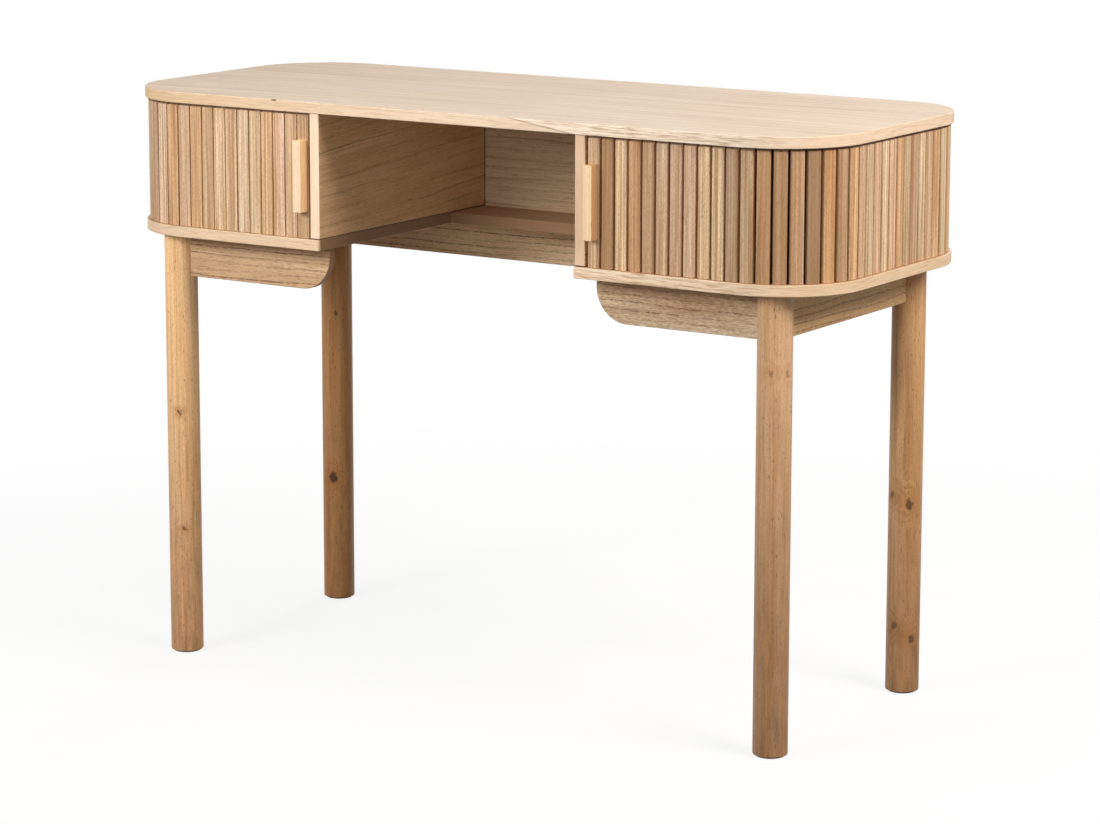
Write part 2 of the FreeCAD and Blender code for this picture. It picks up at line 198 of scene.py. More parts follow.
@dataclass(frozen=True)
class Wood(Finish):
    """Planed wood or veneer: growth-ring lines that wander, fine fibre streaks and short pores.

    The fibres and pores of such wood are finer than a pixel of the render, so they are drawn
    two to three times as wide as they are. Each size in millimetres is a length along the
    fibres and a width across them, and each span gives the noise values that become 0 and 1.
    figure, fibre, pores and tooth say how strongly the ring lines, the fibres, the pores and a
    fine mottle show, and late is the share of a ring that darkens.
    """

    pale: str = "#e0c6ac"
    warm: str = "#dcbfa0"
    deep: str = "#b98f66"
    pore: str = "#6b4a30"
    grain: Grain = Grain.LENGTHWISE
    lean_deg: float = 0.0
    cut_at_mm: Triple = (0.0, 0.0, 0.0)
    ring_mm: float = 8.0
    ring_slant_deg: float = 45.0
    wander_rings: float = 5.0
    wander_mm: Pair = (460.0, 75.0)
    late: float = 0.67
    fade_mm: Pair = (260.0, 14.0)
    fade_span: Pair = (0.3, 0.68)
    figure: float = 0.45
    fibre_mm: Pair = (150.0, 2.2)
    fibre_span: Pair = (0.36, 0.7)
    fibre: float = 0.35
    pore_mm: Pair = (11.0, 1.1)
    pore_span: Pair = (0.66, 0.76)
    pores: float = 0.35
    drift_mm: Pair = (330.0, 34.0)
    drift_span: Pair = (0.32, 0.68)
    tooth_mm: Pair = (3.4, 1.3)
    tooth_span: Pair = (0.4, 0.62)
    tooth: float = 0.12

    def along_grain(self, tree: Tree) -> Source:
        """Turn the places on the desk so that the fibres lie along X.

        Args:
            tree: Node tree of the material.

        Returns:
            Coordinates in metres.
        """
        turn = [math.radians(a) for a in self.grain.value]
        turn[0] += math.radians(self.lean_deg)
        here = add_node(tree, "ShaderNodeTexCoord").outputs["Object"]
        return add_node(tree, "ShaderNodeMapping", {
            "Vector": here, "Rotation": turn, "Location": [c * MM for c in self.cut_at_mm],
        })

    def streaks(self, tree: Tree, place: Source, size_mm: Pair, detail: float, span: Pair) -> Source:
        """Add noise that is drawn out along the fibres.

        Args:
            tree: Node tree of the material.
            place: Coordinates with the fibres along X.
            size_mm: Length and width of a streak.
            detail: Octaves of finer noise.
            span: Noise values that become 0 and 1.

        Returns:
            Values from 0 to 1.
        """
        along, across = (1 / (size * MM) for size in size_mm)
        scaled = add_node(tree, "ShaderNodeMapping", {
            "Vector": place, "Scale": (along, across, across),
        })
        noise = add_node(tree, "ShaderNodeTexNoise", {
            "Vector": scaled, "Scale": 1.0, "Detail": detail, "Roughness": NOISE_ROUGHNESS,
        })
        return add_node(tree, "ShaderNodeMapRange", {
            "Value": noise, "From Min": span[0], "From Max": span[1],
        })

    def rings(self, tree: Tree, place: Source, bulge: Source | None = None) -> Source:
        """Add the late-wood lines of the growth rings, which darken slowly and stop sharply.

        Args:
            tree: Node tree of the material.
            place: Coordinates with the fibres along X.
            bulge: Rings by which something such as a knot pushes the lines aside.

        Returns:
            Values from 0 to 1, where 1 is late wood.
        """
        wander = self.streaks(tree, place, self.wander_mm, detail=2.0, span=(0.0, 1.0))
        slant = math.radians(self.ring_slant_deg)
        per_metre = 1 / (self.ring_mm * MM)
        count = add_node(tree, "ShaderNodeVectorMath", {
            0: place, 1: (0.0, per_metre * math.cos(slant), per_metre * math.sin(slant)),
        }, operation="DOT_PRODUCT").outputs["Value"]
        phase = add_node(tree, "ShaderNodeMath", {
            0: wander, 1: self.wander_rings, 2: count,
        }, operation="MULTIPLY_ADD")
        if bulge is not None:
            phase = add_node(tree, "ShaderNodeMath", {0: phase, 1: bulge}, operation="ADD")
        part = add_node(tree, "ShaderNodeMath", {0: phase}, operation="FRACT")
        late = add_node(tree, "ShaderNodeMapRange", {
            "Value": part, "From Min": LATE_DARKEST - self.late, "From Max": LATE_DARKEST,
        }, interpolation_type="SMOOTHSTEP")
        stop = add_node(tree, "ShaderNodeMapRange", {
            "Value": part, "From Min": 1.0, "From Max": LATE_STOP,
        }, interpolation_type="SMOOTHSTEP")
        line = add_node(tree, "ShaderNodeMath", {0: late, 1: stop}, operation="MULTIPLY")
        fade = self.streaks(tree, place, self.fade_mm, detail=1.0, span=self.fade_span)
        return add_node(tree, "ShaderNodeMath", {0: line, 1: fade}, operation="MULTIPLY")

    def blend(self, tree: Tree, factor: Source, share: float, under: Source | tuple,
              over: Source | tuple) -> Source:
        """Lay one colour over another.

        Args:
            tree: Node tree of the material.
            factor: Where the upper colour shows.
            share: How much of it shows at most.
            under: Lower colour.
            over: Upper colour.

        Returns:
            The colour.
        """
        part = add_node(tree, "ShaderNodeMath", {
            0: factor, 1: share,
        }, operation="MULTIPLY", use_clamp=True)
        return add_node(tree, "ShaderNodeMix", {
            MIX_FACTOR: part, MIX_A: under, MIX_B: over,
        }, data_type="RGBA").outputs[MIX_RESULT]

    def ground(self, tree: Tree, place: Source) -> Source:
        """Colour under the lines and pores: two tones that drift along the board."""
        drift = self.streaks(tree, place, self.drift_mm, detail=2.0, span=self.drift_span)
        return self.blend(tree, drift, 1.0, linear(self.pale), linear(self.warm))

    def draw(self, tree: Tree) -> Surface:
        """Colour and height of the whole wood, drawn in its tree."""
        place = self.along_grain(tree)
        return self.lay_grain(tree, place, self.ground(tree, place), self.rings(tree, place))

    def lay_grain(self, tree: Tree, place: Source, ground: Source, rings: Source) -> Surface:
        """Lay the ring lines, fibres and pores over a ground colour.

        Args:
            tree: Node tree of the material.
            place: Coordinates with the fibres along X.
            ground: Colour under them.
            rings: Late-wood lines.

        Returns:
            Colour and height of the wood.
        """
        fibres = self.streaks(tree, place, self.fibre_mm, detail=3.0, span=self.fibre_span)
        pores = self.streaks(tree, place, self.pore_mm, detail=0.0, span=self.pore_span)
        tooth = self.streaks(tree, place, self.tooth_mm, detail=1.0, span=self.tooth_span)
        colour = ground
        for factor, share, code in (
            (rings, self.figure, self.deep), (fibres, self.fibre, self.deep),
            (tooth, self.tooth, self.deep), (pores, self.pores, self.pore),
        ):
            colour = self.blend(tree, factor, share, colour, linear(code))
        hollow = add_node(tree, "ShaderNodeMath", {0: pores, 1: fibres}, operation="MAXIMUM")
        height = add_node(tree, "ShaderNodeMath", {0: 1.0, 1: hollow}, operation="SUBTRACT")
        return Surface(colour, height)


@dataclass(frozen=True)
class EdgedWood(Wood):
    """Board or bar whose edges show other wood than its faces, such as a glued band.

    The edges of an opening in the board can be left bare, where the darker core shows; on a wall
    the same dark colour is painted shade on the rims and in the gaps where it meets other boards.
    A scarf joint in the band is given by its place along X, its run for each millimetre of height,
    and the height at that place.
    """

    across: Across = Across.Z
    edge_facing: Pair = (0.88, 0.6)
    band_pale: str = "#e3c59e"
    band_deep: str = "#c69b6c"
    band_mm: Pair = (42.0, 2.4)
    band_span: Pair = (0.44, 0.72)
    band_twist: float = 0.9
    band_lines: float = 0.9
    plain_lines: float = 0.5
    band_left: str = ""
    band_left_mm: Pair = (50.0, -500.0)
    wavy_pale: str = "#f7e4d0"
    wavy_end_mm: Pair = (430.0, 510.0)
    scarf_mm: Triple = (2000.0, 6.7, 790.0)
    scarf_line_mm: Pair = (9.0, 3.0)
    scarf_line: float = 0.5
    core_and_seam_shade: str = "#825c3d"
    core_and_seam_shade_cover: float = 0.9
    dark_rim_half_mm: float = 0.0
    dark_rim_depth_mm: Pair = (0.0, 0.0)
    seam_low_mm: float = -1.0
    seam_rear_mm: float = 5000.0
    fleck: str = "#4a3626"
    fleck_cover: float = 0.85
    fleck_at_mm: Triple = (0.0, 0.0, -500.0)
    fleck_mm: Triple = (5.0, 2.0, 1.4)
    fleck_rim: Pair = (1.0, 0.8)

    def draw(self, tree: Tree) -> Surface:
        """Add the face's nodes and the band's, told apart by which way the surface faces.

        Args:
            tree: Node tree of the material.

        Returns:
            Colour and height of the board.
        """
        face = super().draw(tree)
        coords = add_node(tree, "ShaderNodeTexCoord").outputs
        here = coords["Object"]
        facing = add_node(tree, "ShaderNodeSeparateXYZ", {0: coords["Normal"]}).outputs
        flat = add_node(tree, "ShaderNodeMath", {0: facing[self.across.value]}, operation="ABSOLUTE")
        edge = add_node(tree, "ShaderNodeMapRange", {
            "Value": flat, "From Min": self.edge_facing[0], "From Max": self.edge_facing[1],
        })
        colour = self.blend(tree, edge, 1.0, face.colour, self.band(tree, here))
        # Dark rims: the bare core round an opening, painted shade round a wall and in its seams
        dark_rim = add_node(tree, "ShaderNodeMath", {
            0: edge, 1: self.on_dark_rim(tree, here),
        }, operation="MULTIPLY")
        dark = add_node(tree, "ShaderNodeMath", {
            0: dark_rim, 1: self.seam_shade(tree, here),
        }, operation="MAXIMUM")
        colour = self.blend(tree, dark, self.core_and_seam_shade_cover, colour, linear(self.core_and_seam_shade))
        chip = self.chip(tree, here)
        return Surface(self.blend(tree, chip, self.fleck_cover, colour, linear(self.fleck)), face.height)

    def band(self, tree: Tree, here: Source) -> Source:
        """Colour the edge band: a plain strip, then a wavier one past a slanted scarf joint.

        Args:
            tree: Node tree of the material.
            here: Place on the desk.

        Returns:
            The colour.
        """
        start, run, level = self.scarf_mm
        place = add_node(tree, "ShaderNodeSeparateXYZ", {0: here}).outputs
        slant = add_node(tree, "ShaderNodeMath", {
            0: place[2], 1: run, 2: place[0],
        }, operation="MULTIPLY_ADD")
        past = add_node(tree, "ShaderNodeMath", {
            0: slant, 1: (start + run * level) * MM,
        }, operation="SUBTRACT")
        begun = add_node(tree, "ShaderNodeMath", {0: past, 1: 0.0}, operation="GREATER_THAN")
        ended = add_node(tree, "ShaderNodeMapRange", {
            "Value": place[0],
            "From Min": self.wavy_end_mm[1] * MM, "From Max": self.wavy_end_mm[0] * MM,
        })
        wavy = add_node(tree, "ShaderNodeMath", {0: begun, 1: ended}, operation="MULTIPLY")
        scale = [1 / (self.band_mm[0] * MM)] * 3
        scale[self.across.value] = 1 / (self.band_mm[1] * MM)
        scaled = add_node(tree, "ShaderNodeMapping", {"Vector": here, "Scale": scale})
        streak = add_node(tree, "ShaderNodeTexNoise", {
            "Vector": scaled, "Scale": 1.0, "Detail": 3.0,
            "Roughness": NOISE_ROUGHNESS, "Distortion": self.band_twist,
        })
        line = add_node(tree, "ShaderNodeMapRange", {
            "Value": streak, "From Min": self.band_span[0], "From Max": self.band_span[1],
        })
        depth = add_node(tree, "ShaderNodeMapRange", {
            "Value": wavy, "To Min": self.plain_lines, "To Max": 1.0,
        })
        line = add_node(tree, "ShaderNodeMath", {0: line, 1: depth}, operation="MULTIPLY")
        plain = linear(self.band_pale)
        if self.band_left:
            left = add_node(tree, "ShaderNodeMapRange", {
                "Value": place[0],
                "From Min": self.band_left_mm[0] * MM, "From Max": self.band_left_mm[1] * MM,
            })
            plain = self.blend(tree, left, 1.0, plain, linear(self.band_left))
        colour = self.blend(tree, wavy, 1.0, plain, linear(self.wavy_pale))
        colour = self.blend(tree, line, self.band_lines, colour, linear(self.band_deep))
        near = add_node(tree, "ShaderNodeMath", {0: past}, operation="ABSOLUTE")
        joint = add_node(tree, "ShaderNodeMapRange", {
            "Value": near,
            "From Min": self.scarf_line_mm[0] * MM, "From Max": self.scarf_line_mm[1] * MM,
        })
        return self.blend(tree, joint, self.scarf_line, colour, linear(self.pore))

    def on_dark_rim(self, tree: Tree, here: Source) -> Source:
        """Tell whether a place lies within the dark rims: round the base's opening, where the core shows, and
        round a wall, where painted shade marks its rims.

        Args:
            tree: Node tree of the material.
            here: Place on the desk.

        Returns:
            Value that is 1 there and 0 elsewhere.
        """
        place = add_node(tree, "ShaderNodeSeparateXYZ", {0: here}).outputs
        beside = add_node(tree, "ShaderNodeMath", {0: place[0]}, operation="ABSOLUTE")
        within = add_node(tree, "ShaderNodeMath", {
            0: beside, 1: self.dark_rim_half_mm * MM,
        }, operation="LESS_THAN")
        front, rear = self.dark_rim_depth_mm
        behind = add_node(tree, "ShaderNodeMath", {
            0: place[1], 1: (front + rear) / 2 * MM, 2: (rear - front) / 2 * MM,
        }, operation="COMPARE")
        return add_node(tree, "ShaderNodeMath", {0: within, 1: behind}, operation="MULTIPLY")

    def seam_shade(self, tree: Tree, here: Source) -> Source:
        """Tell whether a place lies in the painted shade of the gap to the board below or behind.

        Args:
            tree: Node tree of the material.
            here: Place on the desk.

        Returns:
            Value that is 1 there and 0 elsewhere.
        """
        place = add_node(tree, "ShaderNodeSeparateXYZ", {0: here}).outputs
        low = add_node(tree, "ShaderNodeMath", {
            0: place[2], 1: self.seam_low_mm * MM,
        }, operation="LESS_THAN")
        rear = add_node(tree, "ShaderNodeMath", {
            0: place[1], 1: self.seam_rear_mm * MM,
        }, operation="GREATER_THAN")
        return add_node(tree, "ShaderNodeMath", {0: low, 1: rear}, operation="MAXIMUM")

    def chip(self, tree: Tree, here: Source) -> Source:
        """Mark one small dark chip at the rim.

        Args:
            tree: Node tree of the material.
            here: Place on the desk.

        Returns:
            Value that is 1 in the chip and 0 elsewhere.
        """
        away = add_node(tree, "ShaderNodeVectorMath", {
            0: here, 1: [c * MM for c in self.fleck_at_mm],
        }, operation="SUBTRACT")
        away = add_node(tree, "ShaderNodeVectorMath", {
            0: away, 1: [1 / (c * MM) for c in self.fleck_mm],
        }, operation="MULTIPLY")
        far = add_node(tree, "ShaderNodeVectorMath", {0: away}, operation="LENGTH").outputs["Value"]
        return add_node(tree, "ShaderNodeMapRange", {
            "Value": far, "From Min": self.fleck_rim[0], "From Max": self.fleck_rim[1],
        })


@dataclass(frozen=True)
class RingPorousWood(EdgedWood):
    """Veneer of a wood whose open pores stand in rows along the ring lines."""

    dash_mm: Pair = (6.5, 1.5)
    dash_span: Pair = (0.43, 0.57)
    dashes: float = 0.9
    between: float = 0.15

    def lay_grain(self, tree: Tree, place: Source, ground: Source, rings: Source) -> Surface:
        """Lay the grain, then the rows of pores.

        Args:
            tree: Node tree of the material.
            place: Coordinates with the fibres along X.
            ground: Colour under the grain.
            rings: Late-wood lines.

        Returns:
            Colour and height of the wood.
        """
        wood = super().lay_grain(tree, place, ground, rings)
        dash = self.streaks(tree, place, self.dash_mm, detail=2.0, span=self.dash_span)
        crowd = add_node(tree, "ShaderNodeMapRange", {"Value": rings, "To Min": self.between})
        rows = add_node(tree, "ShaderNodeMath", {0: crowd, 1: dash}, operation="MULTIPLY")
        colour = self.blend(tree, rows, self.dashes, wood.colour, linear(self.pore))
        return Surface(colour, wood.height)


@dataclass(frozen=True)
class Knot:
    """A knot in a leg: its place on the surface, its size and how dark it is."""

    place_mm: Triple
    radius_mm: float
    strength: float


@dataclass(frozen=True)
class KnottyWood(Wood):
    """Turned softwood with knots, which the ring lines run round, and painted shade and stains towards the
    floor.

    A knot's heart and halo are given in radii of the knot, from where they begin inwards.
    """

    knots: tuple[Knot, ...] = ()
    ragged_mm: float = 7.0
    ragged_reach_mm: float = 11.0
    squeeze: float = 0.75
    heart_radii: Pair = (1.05, 0.45)
    heart_cover: float = 0.9
    halo_radii: Pair = (4.0, 0.6)
    halo_cover: float = 0.45
    bulge_rings: float = 2.6
    amber: str = "#b9783f"
    floor_shade_mm: float = 480.0
    floor_shade: float = 0.45
    stain_mm: Pair = (48.0, 11.0)
    stain_span: Pair = (0.42, 0.66)
    stained: float = 0.3

    def draw(self, tree: Tree) -> Surface:
        """Add the wood's nodes, then each knot's dark heart and the amber wood round it.

        Args:
            tree: Node tree of the material.

        Returns:
            Colour and height of the leg.
        """
        place = self.along_grain(tree)
        here = add_node(tree, "ShaderNodeTexCoord").outputs["Object"]
        heart, halo = self.spots(tree, here)
        bulge = add_node(tree, "ShaderNodeMath", {0: halo, 1: self.bulge_rings}, operation="MULTIPLY")
        ground = self.ground(tree, place)
        ground = self.blend(tree, halo, self.halo_cover, ground, linear(self.amber))
        wood = self.lay_grain(tree, place, ground, self.rings(tree, place, bulge))
        colour = self.shade_and_stain_foot(tree, place, here, wood.colour)
        colour = self.blend(tree, heart, self.heart_cover, colour, linear(self.pore))
        return Surface(colour, wood.height)

    def spots(self, tree: Tree, here: Source) -> list[Source]:
        """Mark the knots, with ragged rims and drawn out a little along the leg.

        Args:
            tree: Node tree of the material.
            here: Place on the desk.

        Returns:
            Values from 0 to 1 for the hearts and for the halos.
        """
        reach = self.ragged_reach_mm * MM
        rough = add_node(tree, "ShaderNodeTexNoise", {
            "Vector": here, "Scale": 1 / (self.ragged_mm * MM), "Detail": 3.0,
        }).outputs["Color"]
        ragged = add_node(tree, "ShaderNodeVectorMath", {
            0: rough, 1: (reach, reach, reach), 2: here,
        }, operation="MULTIPLY_ADD")
        totals = [None, None]
        for knot in self.knots:
            away = add_node(tree, "ShaderNodeVectorMath", {
                0: ragged, 1: [c * MM + reach / 2 for c in knot.place_mm],
            }, operation="SUBTRACT")
            radii = 1 / (knot.radius_mm * MM)
            away = add_node(tree, "ShaderNodeVectorMath", {
                0: away, 1: (radii, radii, self.squeeze * radii),
            }, operation="MULTIPLY")
            far = add_node(tree, "ShaderNodeVectorMath", {0: away}, operation="LENGTH").outputs["Value"]
            for number, (rim, middle) in enumerate((self.heart_radii, self.halo_radii)):
                spot = add_node(tree, "ShaderNodeMapRange", {
                    "Value": far, "From Min": rim, "From Max": middle, "To Max": knot.strength,
                }, interpolation_type="SMOOTHSTEP")
                if totals[number] is not None:
                    spot = add_node(tree, "ShaderNodeMath", {
                        0: totals[number], 1: spot,
                    }, operation="ADD", use_clamp=True)
                totals[number] = spot
        return totals

    def shade_and_stain_foot(self, tree: Tree, place: Source, here: Source, plain_wood: Source) -> Source:
        """Darken the wood towards the floor with painted shade, and lay stain patches there.

        Args:
            tree: Node tree of the material.
            place: Coordinates with the fibres along X.
            here: Place on the desk.
            plain_wood: Colour of the wood before shade and stains.

        Returns:
            The colour.
        """
        level = add_node(tree, "ShaderNodeSeparateXYZ", {0: here}).outputs[2]
        low = add_node(tree, "ShaderNodeMapRange", {
            "Value": level, "From Min": self.floor_shade_mm * MM, "From Max": 0.0,
        })
        patch = self.streaks(tree, place, self.stain_mm, detail=3.0, span=self.stain_span)
        stain = add_node(tree, "ShaderNodeMath", {0: low, 1: patch}, operation="MULTIPLY")
        # Painted shade: the wood darkens towards the floor
        colour = self.blend(tree, low, self.floor_shade, plain_wood, linear(self.deep))
        return self.blend(tree, stain, self.stained, colour, linear(self.pore))


@dataclass(frozen=True)
class SlatWood(Wood):
    """Sawn solid strips, each from another board: its tone comes from the slat's own number."""

    tones: tuple[str, ...] = ("#feeaca", "#f5d7b0", "#f2cfb4", "#eec99f", "#d5a477")
    boards_apart: Triple = (3.1, 0.7, 0.4)
    drift_span: Pair = (0.42, 0.64)
    streaked: float = 0.7
    brown: str = "#8a674a"
    groove_shade: str = "#4b3120"
    groove_mm: float = 771.6
    groove_shade_cover: float = 0.85

    def along_grain(self, tree: Tree) -> Source:
        """Lay the fibres along X, and cut each slat from another place in the wood.

        Args:
            tree: Node tree of the material.

        Returns:
            Coordinates in metres.
        """
        place = super().along_grain(tree)
        own = add_node(tree, "ShaderNodeAttribute", attribute_name="tone").outputs["Fac"]
        return add_node(tree, "ShaderNodeVectorMath", {
            0: own, 1: self.boards_apart, 2: place,
        }, operation="MULTIPLY_ADD")

    def ground(self, tree: Tree, place: Source) -> Source:
        """Colour one slat: its own tone, streaked, more or less brown, and painted shade on its tongue in the
        groove.

        Args:
            tree: Node tree of the material.
            place: Coordinates with the fibres along X.

        Returns:
            The colour.
        """
        own, shade = (
            add_node(tree, "ShaderNodeAttribute", attribute_name=name).outputs["Fac"]
            for name in ("tone", "shade")
        )
        ramp = add_node(tree, "ShaderNodeValToRGB", {0: own})
        stops = ramp.color_ramp.elements
        stops[0].color, stops[1].color = linear(self.tones[0]), linear(self.tones[-1])
        for number, code in enumerate(self.tones[1:-1], start=1):
            stops.new(number / (len(self.tones) - 1)).color = linear(code)
        drift = self.streaks(tree, place, self.drift_mm, detail=2.0, span=self.drift_span)
        colour = self.blend(tree, drift, self.streaked, ramp, linear(self.warm))
        colour = self.blend(tree, shade, 1.0, colour, linear(self.brown))
        here = add_node(tree, "ShaderNodeTexCoord").outputs["Object"]
        level = add_node(tree, "ShaderNodeSeparateXYZ", {0: here}).outputs[2]
        # Painted shade on the tongue, which stands in the dark gap under the top
        tongue = add_node(tree, "ShaderNodeMath", {
            0: level, 1: self.groove_mm * MM,
        }, operation="GREATER_THAN")
        return self.blend(tree, tongue, self.groove_shade_cover, colour, linear(self.groove_shade))


@dataclass(frozen=True)
class Weave(Finish):
    """Plain woven canvas: threads that pass over and under each other.

    Its threads are about 0.5 mm apart. They are drawn 1.2 mm apart, so that they show.
    """

    thread: str = "#553a26"
    gap: str = "#24150b"
    thread_mm: float = 1.2

    def draw(self, tree: Tree) -> Surface:
        """Add two crossing waves, one for each way the threads run.

        Args:
            tree: Node tree of the material.

        Returns:
            Colour and height of the cloth.
        """
        place = add_node(tree, "ShaderNodeUVMap", uv_map="cloth")
        scale = 2 * math.pi / (WAVE_RADIANS * 2 * self.thread_mm * MM)
        waves = [
            add_node(tree, "ShaderNodeTexWave", {
                "Vector": place, "Scale": scale,
            }, bands_direction=way).outputs["Fac"]
            for way in ("X", "Y")
        ]
        over = add_node(tree, "ShaderNodeMath", {0: waves[0], 1: waves[1]}, operation="MULTIPLY")
        colour = add_node(tree, "ShaderNodeMix", {
            MIX_FACTOR: over, MIX_A: linear(self.gap), MIX_B: linear(self.thread),
        }, data_type="RGBA").outputs[MIX_RESULT]
        return Surface(colour, over)


@dataclass(frozen=True)
class Felt(Finish):
    """Pressed wool felt: matted fibres that leave a cloudy, matt surface.

    The fibres are far finer than a pixel, so tufts of 1.5 mm are drawn.
    """

    pale: str = "#6f665c"
    deep: str = "#4b443c"
    tuft_mm: float = 1.5
    matting: float = 1.5
    sheen: float = 0.4

    def draw(self, tree: Tree) -> Surface:
        """Add the matted fibres.

        Args:
            tree: Node tree of the material.

        Returns:
            Colour and height of the felt.
        """
        place = add_node(tree, "ShaderNodeTexCoord").outputs["Object"]
        tufts = add_node(tree, "ShaderNodeTexNoise", {
            "Vector": place, "Scale": 1 / (self.tuft_mm * MM), "Detail": 4.0, "Distortion": self.matting,
        })
        colour = add_node(tree, "ShaderNodeMix", {
            MIX_FACTOR: tufts, MIX_A: linear(self.deep), MIX_B: linear(self.pale),
        }, data_type="RGBA").outputs[MIX_RESULT]
        return Surface(colour, tufts)

    def shader_values(self) -> dict:
        """Matt, with the soft sheen of loose wool."""
        return {"Roughness": self.roughness, "Sheen Weight": self.sheen}


@dataclass(frozen=True)
class ZincPlate(Finish):
    """Zinc-plated steel: a grey metal with faint crystals from the bath.

    The crystals of a thin plating are under 0.5 mm. They are drawn at 1.6 mm, so that they show.
    """

    pale: str = "#c3c6c8"
    deep: str = "#9a9ea2"
    crystal_mm: float = 1.6

    def draw(self, tree: Tree) -> Surface:
        """Add the crystals.

        Args:
            tree: Node tree of the material.

        Returns:
            Colour and height of the plating.
        """
        place = add_node(tree, "ShaderNodeTexCoord").outputs["Object"]
        crystals = add_node(tree, "ShaderNodeTexVoronoi", {
            "Vector": place, "Scale": 1 / (self.crystal_mm * MM),
        }).outputs["Distance"]
        colour = add_node(tree, "ShaderNodeMix", {
            MIX_FACTOR: crystals, MIX_A: linear(self.deep), MIX_B: linear(self.pale),
        }, data_type="RGBA").outputs[MIX_RESULT]
        return Surface(colour, crystals)

    def shader_values(self) -> dict:
        """A metal with a satin surface."""
        return {"Roughness": self.roughness, "Metallic": 1.0}


def dress(node: str, material: bpy.types.Material) -> None:
    """Give a CAD node its finish.

    Args:
        node: Name of the node.
        material: Its material.
    """
    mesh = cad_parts[node].data
    mesh.materials.clear()
    mesh.materials.append(material)
    LOG.info("dressed %s in %s", node, material.name)


def grow(name: str, tree: Tree, values: dict) -> bpy.types.Object:
    """Run a Geometry Nodes tree and keep what it makes as a plain mesh.

    Args:
        name: Name of the new piece.
        tree: The tree.
        values: Values of its named inputs.

    Returns:
        A mesh object at the origin.
    """
    source = bpy.data.objects.new(name + "_source", bpy.data.meshes.new(name + "_source"))
    bpy.context.scene.collection.objects.link(source)
    modifier = source.modifiers.new("Nodes", "NODES")
    modifier.node_group = tree
    sockets = {item.name: item.identifier for item in tree.interface.items_tree if item.in_out == "INPUT"}
    for key, value in values.items():
        modifier[sockets[key]] = value
    evaluated = source.evaluated_get(bpy.context.evaluated_depsgraph_get())
    mesh = bpy.data.meshes.new_from_object(evaluated)
    mesh.name = name
    source.modifiers.remove(modifier)
    bpy.data.objects.remove(source)
    made = bpy.data.objects.new(name, mesh)
    bpy.context.scene.collection.objects.link(made)
    return made


def new_tree(name: str, inputs: dict[str, str]) -> Tree:
    """Start a Geometry Nodes tree.

    Args:
        name: Name of the tree.
        inputs: For each named input, the kind of socket.

    Returns:
        The tree with its sockets.
    """
    tree = bpy.data.node_groups.new(name, "GeometryNodeTree")
    tree.interface.new_socket("Geometry", in_out="OUTPUT", socket_type="NodeSocketGeometry")
    for key, kind in inputs.items():
        tree.interface.new_socket(key, in_out="INPUT", socket_type="NodeSocket" + kind)
    return tree


def end_tree(tree: Tree, copies: Source, finish: Source) -> None:
    """End a Geometry Nodes tree: turn its copies into one plain mesh and dress it.

    Args:
        tree: The tree.
        copies: Geometry that it has set out.
        finish: Material of the piece.
    """
    plain = add_node(tree, "GeometryNodeRealizeInstances", {0: copies})
    dressed = add_node(tree, "GeometryNodeSetMaterial", {"Geometry": plain, "Material": finish})
    add_node(tree, "NodeGroupOutput", {0: dressed})


@dataclass(frozen=True)
class Track:
    """Line of the slats' inner faces: the desk's rounded outline, drawn in."""

    half_length: float = 0.539
    half_depth: float = 0.214
    radius: float = 0.104
    middle_y: float = 0.0055

    @property
    def arc(self) -> float:
        """Length of one bend."""
        return self.radius * math.pi / 2

    @property
    def front_bend(self) -> float:
        """Distance along the outline from its first point to the start of the right front bend."""
        return 3 * self.arc + 4 * (self.half_length - self.radius) + 2 * (self.half_depth - self.radius)

    def place(self, distance: float) -> tuple[Vector, float]:
        """Find a point of the right-hand track.

        Args:
            distance: Distance along it from the start of the front bend.

        Returns:
            Point in plan and heading in radians.
        """
        centre_x = self.half_length - self.radius
        centre_y = self.half_depth - self.radius
        if distance <= 0:
            return Vector((centre_x + distance, self.middle_y - self.half_depth)), 0.0
        if distance <= self.arc:
            turn = distance / self.radius
            return self.round_point(centre_x, -centre_y, turn), turn
        distance -= self.arc
        if distance <= 2 * centre_y:
            return Vector((self.half_length, self.middle_y - centre_y + distance)), math.pi / 2
        distance -= 2 * centre_y
        if distance <= self.arc:
            turn = math.pi / 2 + distance / self.radius
            return self.round_point(centre_x, centre_y, turn), turn
        return Vector((centre_x + self.arc - distance, self.middle_y + self.half_depth)), math.pi

    def round_point(self, x: float, y: float, turn: float) -> Vector:
        """Point of a bend about its centre."""
        return Vector((x + self.radius * math.sin(turn), self.middle_y + y - self.radius * math.cos(turn)))


